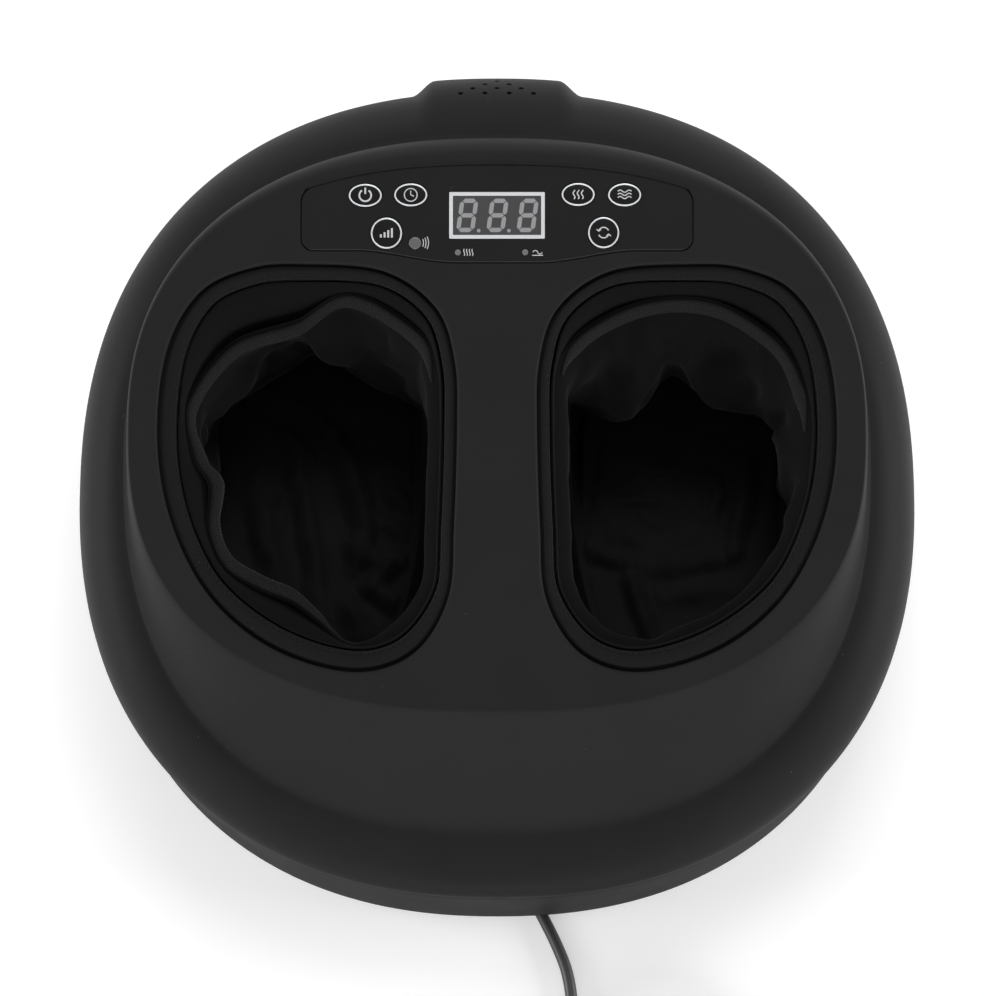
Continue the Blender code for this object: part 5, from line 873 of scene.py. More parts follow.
# The base pan. A dark grey tray under the seam that tapers in towards the floor, with a shallow
# skirt at the middle of its front, a room for the lead and six deep holes for the screws.
FOOT_HEIGHT = 8.0 * MM
SEAM_GAP = 1.1 * MM
LIP_INSET = 1.2 * MM
BASE_TAPER = 4.0 * MM
BASE_EDGE = 5.0 * MM
PLINTH_HALF_WIDTH = 54.0 * MM
PLINTH_LENGTH = 26.0 * MM
PLINTH_DROP = 4.5 * MM
ROOM_WALLS = ((-4.0, -175.0, 9.5), (32.0, -125.0, 27.0))
CABLE_ROOM = ((-1.0, -172.0, 1.5), (29.0, -128.0, 24.0))
CABLE_SLOT = ((9.15, -195.0, 1.5), (27.15, -150.0, 8.0))
BASE_GREY = (0.020, 0.020, 0.021)
SCREW_PLACES = tuple((side * x * HALF_WIDTH, y * reach)
                     for x, y, reach in ((0.38, -0.79, FRONT_HALF), (0.88, -0.10, FRONT_HALF),
                                         (0.76, 0.543, REAR_HALF)) for side in (1, -1))

even = [2 * math.pi * step / COVER_STEPS for step in range(COVER_STEPS)]
pan_top = SEAM_HEIGHT - SEAM_GAP
pan_outer = LIP_INSET + BASE_TAPER
pan_wall = pan_top - FOOT_HEIGHT - BASE_EDGE
edge_turns = [math.radians(degrees) for degrees in range(0, 91, 15)]
pan_profile = [(pan_outer + BASE_EDGE * (1 - math.sin(a)), FOOT_HEIGHT + BASE_EDGE * (1 - math.cos(a)))
               for a in edge_turns]
pan_profile += [(pan_outer - BASE_TAPER * share, FOOT_HEIGHT + BASE_EDGE + pan_wall * share)
                for share in (0.2, 0.4, 0.6, 0.8)]
pan_profile += [(LIP_INSET, pan_top - 0.5 * MM), (LIP_INSET + 0.15 * MM, pan_top - 0.15 * MM),
                (LIP_INSET + 0.5 * MM, pan_top), (LIP_INSET + WALL, pan_top),
                (pan_outer + WALL, FOOT_HEIGHT + WALL + BASE_EDGE),
                (pan_outer + WALL + BASE_EDGE, FOOT_HEIGHT + WALL)]
pan_mesh = Shell().loft([[seam_point(a, inset, height) for a in even]
                         for inset, height in pan_profile]).mesh("base_tray")


def prism_mesh(name, outline, bottom, top):
    return Shell().loft([[Vector((p[0], p[1], level)) for p in outline]
                         for level in (bottom, top)]).mesh(name)


def box_mesh(name, low, high):
    low = Vector(low) * MM
    high = Vector(high) * MM
    return prism_mesh(name, ((low.x, low.y), (high.x, low.y), (high.x, high.y), (low.x, high.y)),
                      low.z, high.z)


skirt_front = sorted((seam_point(a, pan_outer + BASE_EDGE * 0.5, 0.0) for a in even
                      if math.sin(a) < 0), key=lambda point: point.x)
skirt_front = [point for point in skirt_front if abs(point.x) < PLINTH_HALF_WIDTH]
skirt_back = skirt_front[0].y + PLINTH_LENGTH
skirt = prism_mesh("skirt", [tuple(p) for p in skirt_front]
                   + [(skirt_front[-1].x, skirt_back), (skirt_front[0].x, skirt_back)],
                   FOOT_HEIGHT - PLINTH_DROP, FOOT_HEIGHT + WALL / 2)
base_grey = moulded_finish("grey_black_base", BASE_GREY, 0.55, 0.6 * MM, 0.03 * MM, specular=0.012,
                           specks=0.014)
screw_spots = [((x, y, 0), (0, 0, 1), (1, 0, 0)) for x, y in SCREW_PLACES]
screw_hole = turned_mesh("screw_hole", ((4.1, 6), (4.1, 52), (2.3, 52), (2.3, 60)))
screw_tower = turned_mesh("screw_tower", ((7, 9.5), (7, 58)))
relief_hole = turned_mesh("relief_hole", ((5.3, -6), (5.3, 9)))
relief_hole.transform(relief_frame)
for cutter, operation in (
        (skirt, "UNION"),
        (box_mesh("room_walls", *ROOM_WALLS), "UNION"),
        (spread_on_points("towers", screw_spots, screw_tower, base_grey), "UNION"),
        (spread_on_points("screw_holes", screw_spots, screw_hole, base_grey), "DIFFERENCE"),
        (box_mesh("room", *CABLE_ROOM), "DIFFERENCE"), (box_mesh("slot", *CABLE_SLOT), "DIFFERENCE"),
        (relief_hole, "DIFFERENCE")):
    pan_mesh = cut_away(pan_mesh, cutter, operation)
set_piece("base_tray", pan_mesh, "housing", ["base_pan"], base_grey, 30)

# The feet and the housing screws. Four moulded rubber feet are pressed into the pan, and six
# self-tapping screws with crossed heads stand at the bottom of their deep holes.
FOOT_PLACES = (("front_left_foot", -119.97, -113.94), ("front_right_foot", 119.97, -113.94),
               ("rear_left_foot", -119.97, 117.8), ("rear_right_foot", 119.97, 117.8))
SCREW_PITCH = 1.5
SCREW_THREADS = 11
foot_profile = ((6.5, 1.2), (8.6, 0.9), (9.2, 0.2), (9.8, 0.0), (10.6, 0.15), (11.3, 0.7),
                (11.8, 1.5), (12.0, 2.4), (12.0, 4.6), (11.6, 4.9), (11.6, 5.4), (12.0, 5.7),
                (12.0, 7.7))
foot_rubber = moulded_finish("black_foot_rubber", (0.018, 0.018, 0.018), 0.8, 0.9 * MM, 0.05 * MM)
for name, x, y in FOOT_PLACES:
    foot = turned_mesh(name, foot_profile, 48)
    foot.transform(Matrix.Translation((x * MM, y * MM, 0.0)))
    set_piece(name + "_rubber", foot, "housing", [name], foot_rubber)

screw_bottom, screw_top = (corner[2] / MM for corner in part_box("housing_screw_1"))
shank = [(1.2, screw_top), (1.9, screw_top - 1.2)]
for turn in range(SCREW_THREADS):
    level = screw_top - 1.6 - turn * SCREW_PITCH
    if level > screw_bottom + 3.4:
        shank += [(1.45, level), (1.9, level - 0.5), (1.45, level - 1.0)]
head = [(radius, screw_bottom + rise) for radius, rise in (
    (1.9, 2.4), (3.6, 2.3), (3.8, 1.9), (3.6, 1.0), (2.7, 0.3), (1.6, 0.0))]
screw_mesh = turned_mesh("screw", shank + head, 20)
for wide, deep in ((2.2, 0.35), (0.35, 2.2)):
    screw_mesh = cut_away(screw_mesh, box_mesh("cross", (-wide, -deep, screw_bottom - 0.2),
                                               (wide, deep, screw_bottom + 0.8)))
screw_steel = moulded_finish("zinc_screws", (0.55, 0.55, 0.57), 0.34, 0.3 * MM, 0.006 * MM,
                             metallic=1.0)
set_piece("housing_screws", spread_on_points("housing_screws", screw_spots, screw_mesh, screw_steel),
          "housing", ["housing_screw_%d" % number for number in range(1, 7)], screw_steel,
          40)

# The collars. A foam ring under stretch fabric lines the edge of each well: a rounded face that
# stands just below the deck, a stitched line at its inner edge and a slope down to the pouch.
COLLAR_WIDTH = 6.0 * MM
COLLAR_PROFILE = ((0.0, 0.8, -3.6), (0.02, 1.2, -2.9), (0.06, 1.4, -2.1), (0.13, 1.2, -1.45),
                  (0.22, 0.9, -1.0), (0.38, 0.8, -0.9), (0.54, 0.8, -1.0), (0.68, 0.8, -1.25),
                  (0.80, 0.8, -1.6), (0.84, 0.8, -2.0), (0.875, 0.8, -2.05), (0.91, 0.8, -1.95),
                  (0.96, 0.8, -2.4), (1.0, 0.8, -3.4), (1.0, 0.8, -9.0), (0.65, 0.8, -9.0),
                  (0.65, 0.8, -5.3), (0.0, -4.0, -5.3), (0.0, -4.0, -3.6))
STITCH_PITCH = 2.9 * MM
STITCH_LENGTH = 2.2 * MM
STITCH_THICK = 0.42 * MM
STITCH_SHARE = 0.875
STITCH_LEVEL = -1.98 * MM
KNIT_BLACK = (0.0125, 0.0125, 0.0130)
# How long a wave of the pattern is at scale 1.
KNIT_WAVE = 0.314
CLOTH_DUST = (0.08, 0.08, 0.08)
# Painted shade and painted light in a pouch: the depths below the deck over which its hood is painted
# dark, and the heights below which its sole is painted lighter.
PAINTED_HOOD_SHADE = 0.25
PAINTED_SHADE_DEPTHS = (54 * MM, 18 * MM)
PAINTED_LIGHT_HEIGHTS = (74 * MM, 105 * MM)


def make_knit():
    """Fine ribbed knit: rows of loops one way, ribs the other, broken up by loose fibres."""
    group, given, result = shader_group("knit", (("Loop Size", 0.8 * MM), ("Depth", 0.1 * MM)),
                                        (("Normal", "Vector"), ("Shade", "Float")))
    place = shade(group, "TexCoord", output="Object")
    level = shade(group, "Mapping", {"Vector": place, "Rotation": (-DECK_TILT, 0.0, math.radians(45))})
    scale = shade(group, "Math", {0: KNIT_WAVE, 1: given["Loop Size"]}, operation="DIVIDE")
    rows, ribs = (shade(group, "TexWave", {
        "Vector": level, "Scale": scale, "Distortion": 1.5, "Detail": 2.0, "Detail Scale": 2.0},
        output="Fac", bands_direction=way) for way in ("X", "Y"))
    loops = shade(group, "Math", {0: rows, 1: ribs}, operation="MULTIPLY")
    fibre_scale = shade(group, "Math", {0: 3.0, 1: scale}, operation="MULTIPLY")
    fibres = shade(group, "TexNoise", {"Vector": place, "Scale": fibre_scale, "Detail": 3.0})
    height = shade(group, "Math", {0: loops, 1: fibres}, operation="ADD")
    feed(group, result, {
        "Normal": shade(group, "Bump", {"Distance": given["Depth"], "Height": height}),
        "Shade": shade(group, "Math", {0: height, 1: 0.5}, operation="MULTIPLY")})
    return group


knit = make_knit()


def cloth_finish(name, colour, dark, light, loop, depth, sheen, painted_sole_light=1.0):
    """Soft cloth: knit loops that shade and raise it, a dull sheen, dust; in a pouch also
    painted shade that darkens the hood towards its lip, and painted light on the sole."""
    finish, tree, shader = new_finish(name, {
        "Roughness": 0.95, "Specular IOR Level": 0.04, "Sheen Weight": sheen, "Sheen Roughness": 0.4})
    loops = add_node(tree, "ShaderNodeGroup", {"Loop Size": loop, "Depth": depth},
                     node_tree=knit).outputs
    settled = shade(tree, "Group", {"Spacing": 9 * MM, "Speck": 0.02}, node_tree=dust)

    def woven(share):
        return mixed(tree, loops["Shade"], scaled(colour, dark * share), scaled(colour, light * share))

    cloth = woven(1.0)
    if painted_sole_light != 1.0:
        place = shade(tree, "TexCoord", output="Object")
        level = Vector((0.0, DECK_Y, DECK_Z)).dot(DECK_UP)
        across = shade(tree, "VectorMath", {0: place, 1: DECK_UP}, "Value", operation="DOT_PRODUCT")
        near_deck = shade(tree, "MapRange", {"Value": across, "From Min": level - PAINTED_SHADE_DEPTHS[0],
                                             "From Max": level - PAINTED_SHADE_DEPTHS[1]})
        upper = shade(tree, "MapRange", {"Value": shade(tree, "SeparateXYZ", {"Vector": place}, "Z"),
                                         "From Min": PAINTED_LIGHT_HEIGHTS[0], "From Max": PAINTED_LIGHT_HEIGHTS[1]})
        # Painted shade: the hood is painted darker, down to a quarter of its colour, the deeper it hangs
        # below the deck.
        cloth = mixed(tree, near_deck, woven(PAINTED_HOOD_SHADE), cloth)
        # Painted light: low in the pouch the sole is painted lighter, by the factor given for it.
        cloth = mixed(tree, upper, woven(painted_sole_light), cloth)
    feed(tree, shader, {"Base Color": mixed(tree, settled, cloth, CLOTH_DUST),
                        "Normal": loops["Normal"]})
    return finish


def stitch_mesh(length, thick):
    """One stitch: a thread that rises out of the cloth and goes back in."""
    rings = []
    for step in range(7):
        share = step / 6
        grow = max(math.sin(math.pi * share), 0.25)
        centre = Vector(((share - 0.5) * length, 0.0, thick * (grow - 0.7)))
        rings.append([centre + Vector((0.0, math.cos(a), math.sin(a))) * thick / 2 * grow
                      for a in [2 * math.pi * side / 6 for side in range(6)]])
    return Shell().loft(rings).mesh("stitch")


collar_knit = cloth_finish("black_collar_knit", KNIT_BLACK, 0.75, 1.5, 0.9 * MM, 0.10 * MM, 0.04)
thread_grey = moulded_finish("grey_thread", (0.026, 0.026, 0.027), 0.9, 0.2 * MM, 0.03 * MM,
                             specular=0.04)
for name, side in (("left", -1), ("right", 1)):
    ring = Shell().hoop([on_deck(well_outline(side, share * COLLAR_WIDTH, inset * MM), n * MM)
                         for share, inset, n in COLLAR_PROFILE])
    collar = set_piece(name + "_padded_collar", ring, "housing", [name + "_collar"],
                       collar_knit, 60)
    seam = well_outline(side, STITCH_SHARE * COLLAR_WIDTH, 0.8 * MM)
    length = sum((b - a).length for a, b in zip(seam, seam[1:] + seam[:1]))
    stops = evenly(seam, round(length / STITCH_PITCH), True)
    places = []
    for index, stop in enumerate(stops):
        along = (stops[(index + 1) % len(stops)] - stops[index - 1]).normalized()
        along = deck_point(along.x, along.y) - deck_point(0, 0)
        places.append((deck_point(stop.x, stop.y, STITCH_LEVEL), DECK_UP, along))
    stitches = spread_on_points(name + "_collar_stitches", places,
                                stitch_mesh(STITCH_LENGTH, STITCH_THICK), thread_grey)
    set_piece(name + "_collar_stitches", stitches, "housing", [], thread_grey, 60)

# The pouches. A loose bag of thin stretch cloth hangs inside each collar. Under the collar's
# padded slope a velvet binding finishes its mouth; below that it sags as a hood over the dark
# toe room, and lies in folds on the sole over the kneading heads.
BED_CENTRE = (85.5 * MM, 19.0 * MM)
BED_HALF = (52.0 * MM, 120.0 * MM)
BED_POWER = 2.6
SOLE_HEIGHT = 69.0 * MM
SOLE_FILLET = 6.0 * MM
SOLE_LEAST = 68.0 * MM
POUCH_SIDE_TOP = 96.5 * MM
POUCH_THICK = 0.8 * MM
POUCH_STEPS = 256
SPAN_STEPS = 5
SOLE_ROWS = 42
SOLE_REACH = 0.99
SOLE_LIFT = 1.2
NECK_INSET = 1.75 * MM
NECK_DEPTH = 3.0 * MM
LEAST_REACH = 0.6 * MM
MOST_SUNK = 16.0 * MM
BINDING_WIDTH = 6.0 * MM
BINDING_THICK = 1.0 * MM
BINDING_LEAN = (0.86, 0.5)
BINDING_TOP = 4 * SPAN_STEPS
BINDING_FOOT = 5 * SPAN_STEPS
SHELF_ROW = 11 * SPAN_STEPS
HEM_TURN = 0.12
HEM_DEPTH = 5.0 * MM
UNDER_SHARE = 0.45
LINING_BLACK = (0.0064, 0.0064, 0.0066)
VELVET_GREY = (0.0165, 0.0165, 0.0172)
# Rows of the slope down to the binding: share of its reach, drop in millimetres, share of its depth.
SLOPE_ROWS = ((0.3, 1.2, 0.10), (0.65, 1.8, 0.55), (0.9, 2.2, 0.9), (1.0, 2.0, 0.42))
# Rows of the hood between the binding and its lip: share of the way across and of the way down.
HOOD_ROWS = ((0.3, 0.2), (0.75, 0.55))
# Gathers of the hood: height in millimetres, squash in height, place in the noise, size.
GATHERS = ((7.5, 0.45, 5.0, 32.0), (2.2, 0.6, 9.0, 14.0))
# They are full round the rear of a well, between these degrees, and calm at its sides.
GATHER_START = (-12, 22)
GATHER_STOP = (136, 162)
GATHER_CALM = 0.3
GATHER_RUN = 0.56
RIPPLE_STEEPNESS = 3.2
# Ripples of the sole: height, place in the noise, size.
SOLE_RIPPLES = ((0.9, 3.0, 22.0), (0.3, 7.0, 8.0))
# A fold: a factor on its height, the height left at its ends, how far it is felt in half widths,
# the widths of its gentle and its steep side, the depth and distance of the hollow beside it.
FOLD_SCALE = 2.0
FOLD_END = 0.35
FOLD_REACH = 4.0
FOLD_SIDES = (1.5, 0.75)
FOLD_HOLLOW = (0.3, 2.1)

# Where the binding and the lower edge of the hood lie, round each well from its outer side over
# the rear: degrees, then across, up the deck and, for the hood, how far below the deck.
BINDING_LEFT = ((4, 130, -15), (21, 134, 7), (49, 116, 32), (84, 88, 42), (109, 65, 54),
                (139, 36, 38), (155, 29, 22), (170, 27.5, -3), (196, 28.5, -43), (214, 31, -72),
                (232, 44, -92), (252, 65, -97), (265, 79, -84), (279, 90, -75), (300, 104, -69),
                (320, 118, -60), (335, 124, -45), (353, 123, -26))
BINDING_RIGHT = ((0, 134.5, -15), (15, 134.5, 5), (38, 127, 28), (57, 113.5, 41), (77, 96, 50),
                 (96, 75.5, 52), (118, 55, 47), (138, 37, 36), (155, 28.5, 22), (170, 27.5, -3),
                 (196, 28.5, -43), (214, 31, -72), (232, 44, -92), (253, 65, -97), (284, 93, -88),
                 (315, 117, -69), (343, 132, -41))
HOOD_LEFT = ((0, 126, -18, 46), (20, 125, 5, 42), (38, 107, 20, 44), (58, 94, 29, 52),
             (75, 82, 36, 48), (95, 70, 30, 44), (118, 56, 20, 44), (138, 42, 14, 46),
             (155, 31, 4, 50), (175, 28, -25, 52), (196, 29, -48, 52), (214, 32, -74, 48),
             (232, 44, -96, 44), (253, 65, -102, 44), (284, 96, -80, 46), (315, 118, -64, 48),
             (343, 127, -44, 50))
HOOD_RIGHT = ((0, 127, -26, 46), (20, 131, -6, 44), (38, 121, 6, 50), (58, 100, 11, 50),
              (85, 79, 25, 42), (104, 66, 13, 50), (125, 53, 5, 54), (148, 32, 12, 46),
              (169, 28.5, -5, 50), (196, 28, -44, 50), (214, 31, -75, 48), (232, 44, -97, 46),
              (253, 65, -103, 46), (284, 95, -94, 46), (315, 120, -74, 44), (343, 134, -42, 40))
# Folds on the sole: a line of points across and along the floor, then its height and half width.
FOLDS_LEFT = ((((78, 34), (69, 17), (60, -15), (63, -31)), 4.0, 4.5),
              (((96, 30), (90, 5), (84, -30), (80, -60)), 2.6, 4.0),
              (((110, 10), (106, -20), (98, -50)), 3.0, 5.0),
              (((53, 20), (42, 12)), 2.4, 2.4), (((51, 4), (41, -2)), 2.8, 2.4),
              (((55, -8), (44, -16)), 2.6, 2.6), (((64, -24), (50, -33), (58, -44)), 5.0, 4.0),
              (((58, -44), (44, -52), (40, -60)), 4.5, 3.6), (((70, -50), (60, -66)), 4.0, 4.4),
              (((48, -26), (38, -34)), 3.6, 3.0))
FOLDS_RIGHT = ((((49, 16), (63, 17.5), (78, 15)), 1.6, 1.6), (((47, 0), (60, -1), (73, -1.5)), 1.8, 1.6),
               (((67, -7), (72, -11), (78, -12)), 2.2, 1.8), (((40, 34), (37, 8), (33, -21)), 4.5, 3.4),
               (((117, 18), (114, -2), (109, -25)), 3.4, 3.6),
               (((67, -36), (88, -34), (109, -29)), 3.2, 3.6),
               (((39, -24), (52, -30), (68, -31)), 4.0, 3.0),
               (((60, -34), (64, -50), (71, -69)), 4.4, 3.2),
               (((78, -48), (96, -44), (112, -46)), 2.6, 4.2),
               (((96, 14), (104, 4), (100, -8)), 1.8, 2.4))


def well_turn(side, edge):
    """The direction of a point of a well's edge from the well's centre."""
    return math.atan2((edge.y - WELL_CENTRE_S) / WELL_HALF_LENGTH,
                      (side * edge.x - WELL_CENTRE_X) / WELL_HALF_WIDTH)


def bed_point(side, edge, inset, height):
    """The point of the foot bed that faces a point of the well's edge."""
    place = superellipse(well_turn(side, edge), BED_HALF[0] - inset, BED_HALF[1] - inset,
                         BED_HALF[1] - inset, BED_POWER, BED_CENTRE[1])
    return Vector((side * (BED_CENTRE[0] + place.x), place.y, height))


def round_well(knots, degrees):
    """A row of values on a smooth closed curve through knots that begin with their degrees."""
    count = len(knots)
    after = next((i for i, knot in enumerate(knots) if knot[0] > degrees), count)
    rows = []
    for index in range(after - 2, after + 2):
        laps, place = divmod(index, count)
        rows.append([knots[place][0] + 360 * laps, *knots[place][1:]])
    share = (degrees - rows[1][0]) / (rows[2][0] - rows[1][0])
    return [curve_at(*values, share) for values in list(zip(*rows))[1:]]


def fold_rise(x, y, folds):
    """How far the folds lift the cloth above the sole at a place on the floor, in millimetres."""
    rise = 0.0
    for line, height, width in folds:
        nearest = 1e9
        lean = 0.0
        place = 0.0
        for number, (start, end) in enumerate(zip(line, line[1:])):
            ahead = (end[0] - start[0], end[1] - start[1])
            length = math.hypot(*ahead)
            share = ((x - start[0]) * ahead[0] + (y - start[1]) * ahead[1]) / length ** 2
            held = min(max(share, 0.0), 1.0)
            away = (x - start[0] - ahead[0] * held, y - start[1] - ahead[1] * held)
            distance = math.hypot(*away)
            if distance < nearest:
                nearest = distance
                lean = (ahead[0] * away[1] - ahead[1] * away[0]) / length
                place = (number + held) / (len(line) - 1)
        if nearest > FOLD_REACH * width:
            continue
        middle = math.sin(math.pi * min(max(place, 0.08), 0.92))
        strength = height * (FOLD_END + (1 - FOLD_END) * middle)
        wide = width * FOLD_SIDES[0 if lean > 0 else 1]
        rise += strength * math.exp(-(nearest / wide) ** 2)
        rise -= FOLD_HOLLOW[0] * strength * math.exp(-((nearest - FOLD_HOLLOW[1] * width) / width) ** 2)
    return rise


def cloth_ripple(place, seed, size):
    """Ridged ripples of gathered cloth, from -1 to 1."""
    wave = noise.noise(place / size + Vector((seed, 0.0, 0.0)))
    return 1.0 - RIPPLE_STEEPNESS * abs(wave)


def pouch_rows(side, binding, hood, folds):
    """The rows of the bag from its neck down to the middle of its sole, and the binding's rows."""
    edge = well_outline(side, 0.0, 0.0, POUCH_STEPS)
    neck = well_outline(side, COLLAR_WIDTH, NECK_INSET, POUCH_STEPS)
    columns = []
    turns = []
    for rim, mouth in zip(edge, neck):
        degrees = math.degrees(well_turn(side, rim)) % 360
        turns.append(degrees)
        bound_x, bound_s = round_well(binding, degrees)
        hood_x, hood_s, hood_drop = round_well(hood, degrees)
        start = Vector((mouth.x, mouth.y, -NECK_DEPTH))
        bound = Vector((side * bound_x * MM, bound_s * MM, 0.0))
        lip_end = Vector((side * hood_x * MM, hood_s * MM, -hood_drop * MM))
        reach = max((bound.xy - start.xy).length - BINDING_WIDTH / 2, LEAST_REACH)
        way = (bound.xy - start.xy).normalized().to_3d()
        sunk = min(reach, MOST_SUNK)
        slope = [start + way * reach * share - Vector((0, 0, drop * MM + depth * sunk))
                 for share, drop, depth in SLOPE_ROWS]
        low = slope[-1] + way * BINDING_WIDTH * BINDING_LEAN[0]
        low.z -= BINDING_WIDTH * BINDING_LEAN[1]
        sag = [low.lerp(lip_end, share) for share, drop in HOOD_ROWS]
        for place, (share, drop) in zip(sag, HOOD_ROWS):
            place.z = low.z + (lip_end.z - low.z) * drop
        back = lip_end - (lip_end - low) * HEM_TURN
        back.z = lip_end.z - HEM_DEPTH
        corners = [deck_point(p.x, p.y, p.z) for p in (start, *slope, low, *sag, lip_end, back)]
        shelf = bed_point(side, rim, 0.0, POUCH_SIDE_TOP)
        under = corners[-1].lerp(shelf, UNDER_SHARE)
        column = spline_points([*corners, under, shelf], SPAN_STEPS, False)
        for step in range(1, 6):
            column.append(bed_point(side, rim, 0.0, POUCH_SIDE_TOP
                                    + (SOLE_HEIGHT + SOLE_FILLET - POUCH_SIDE_TOP) * step / 5))
        for angle in (22.5, 45, 67.5, 90):
            turn = math.radians(angle)
            column.append(bed_point(side, rim, SOLE_FILLET * (1 - math.cos(turn)),
                                    SOLE_HEIGHT + SOLE_FILLET * (1 - math.sin(turn))))
        border = column[-1]
        middle = Vector((side * BED_CENTRE[0], BED_CENTRE[1], SOLE_HEIGHT))
        for step in range(1, SOLE_ROWS + 1):
            place = border.lerp(middle, SOLE_REACH * step / SOLE_ROWS)
            rise = fold_rise(side * place.x / MM, place.y / MM, folds)
            for height, seed, size in SOLE_RIPPLES:
                rise += height * cloth_ripple(place, side * seed, size * MM) * ease(0, 5, step)
            place.z = SOLE_HEIGHT + (SOLE_LIFT + FOLD_SCALE * rise) * MM
            place.z = SOLE_LEAST + math.log1p(math.exp((place.z - SOLE_LEAST) / MM)) * MM
            column.append(place)
        columns.append(column)
    return [list(row) for row in zip(*columns)], turns


def gather(rows, turns, side):
    """Soft gathers in the hanging cloth, from the binding's lower edge down to the shelf."""
    count = len(rows[0])
    moved = {}
    for row in range(BINDING_FOOT + 1, SHELF_ROW):
        share = (row - BINDING_FOOT) / (SHELF_ROW - BINDING_FOOT)
        strength = math.sin(math.pi * min(share / GATHER_RUN, 1.0))
        for index in range(count):
            turn = (turns[index] + 180) % 360 - 180
            full = ease(*GATHER_START, turn) * (1 - ease(*GATHER_STOP, turn))
            loose = GATHER_CALM + (1 - GATHER_CALM) * full
            here = rows[row][index]
            across = rows[row][(index + 1) % count] - rows[row][index - 1]
            down = rows[row + 1][index] - rows[row - 1][index]
            square = across.cross(down)
            if square.length < 1e-12:
                continue
            square.normalize()
            folds = sum(height * cloth_ripple(Vector((here.x, here.y, here.z * squash)), side * seed,
                                              size * MM) for height, squash, seed, size in GATHERS)
            moved[(row, index)] = here + square * folds * loose * strength * MM
    for (row, index), place in moved.items():
        rows[row][index] = place


# Painted light: the last number paints the lining's sole four times lighter.
lining_black = cloth_finish("black_pouch_lining", LINING_BLACK, 0.8, 1.25, 0.6 * MM, 0.05 * MM, 0.03,
                            4.0)
velvet_grey = cloth_finish("grey_black_velvet", VELVET_GREY, 0.45, 1.8, 0.9 * MM, 0.25 * MM, 0.09)
for name, side, binding, hood, folds, span in (
        ("left", -1, BINDING_LEFT, HOOD_LEFT, FOLDS_LEFT, (246, 518)),
        ("right", 1, BINDING_RIGHT, HOOD_RIGHT, FOLDS_RIGHT, (8, 156))):
    rows, turns = pouch_rows(side, binding, hood, folds)
    band_rows = [list(row) for row in rows[BINDING_TOP:BINDING_FOOT + 1]]
    gather(rows, turns, side)
    cloth = Shell()
    cloth.fill(cloth.rings(rows)[1])
    mesh = bpy.data.meshes.new(name + "_pouch_cloth")
    mesh.from_pydata([tuple(point) for point in cloth.points], [],
                     cloth.faces if side < 0 else [face[::-1] for face in cloth.faces])
    mesh.shade_smooth()
    mesh.materials.append(lining_black)
    pouch = linked(name + "_pouch_cloth", mesh)
    wall = pouch.modifiers.new("wall", "SOLIDIFY")
    wall.thickness = POUCH_THICK
    wall.offset = -1.0
    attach(pouch, "housing")
    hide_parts(name + "_pouch")

    reach = span[1] - span[0]
    order = sorted(((turn - span[0]) % 360, index) for index, turn in enumerate(turns)
                   if (turn - span[0]) % 360 <= reach)
    sections = []
    for rest, index in order:
        across = [row[index] for row in band_rows]
        after = band_rows[0][(index + 1) % POUCH_STEPS] - band_rows[0][index - 1]
        up = (across[-1] - across[0]).cross(after).normalized()
        if up.z < 0:
            up = -up
        taper = 0.2 + 0.8 * ease(0, 16, rest) * ease(0, 16, reach - rest)
        middle = sum(across, Vector()) / len(across)
        across = [middle.lerp(point, taper) for point in across]
        section = []
        for step, point in enumerate(across):
            bulge = math.sqrt(1 - (2 * (step + 0.5) / len(across) - 1) ** 2)
            section.append(point + up * (POUCH_THICK + BINDING_THICK * (0.35 + 0.65 * bulge)))
        section += [point + up * 0.1 * MM for point in across[::-1]]
        sections.append(section)
    band = set_piece(name + "_binding", Shell().loft(sections), "housing", [], velvet_grey,
                     60)

# The control panel. A satin black plate let into the deck, with openings for six buttons, the
# digit window, the remote receiver and two indicators.
BUTTON_OVAL = (7.3 * MM, 5.1 * MM)
BUTTON_ROUND = (6.9 * MM, 6.9 * MM)
BUTTONS = (("power", -0.672, 99.80, BUTTON_OVAL), ("timer", -0.440, 100.02, BUTTON_OVAL),
           ("intensity", -0.564, 83.22, BUTTON_ROUND), ("heating", 0.414, 100.19, BUTTON_OVAL),
           ("relax", 0.651, 100.02, BUTTON_OVAL), ("mode", 0.544, 83.48, BUTTON_ROUND))
DISPLAY_S = 91.1 * MM
DISPLAY_HALF = (21.0 * MM, 10.3 * MM)
LENS_PLACE = (-0.418 * PANEL_HALF_WIDTH, 79.02 * MM)
LENS_RADIUS = 2.75 * MM
INDICATOR_PLACES = (("heat", -0.200 * PANEL_HALF_WIDTH, 74.90 * MM),
                    ("massage", 0.144 * PANEL_HALF_WIDTH, 74.99 * MM))
INDICATOR_RADIUS = 1.35 * MM


def oval(half_width, half_height, centre, steps=64):
    return [Vector((centre[0] + half_width * math.cos(2 * math.pi * step / steps),
                    centre[1] + half_height * math.sin(2 * math.pi * step / steps)))
            for step in range(steps)]


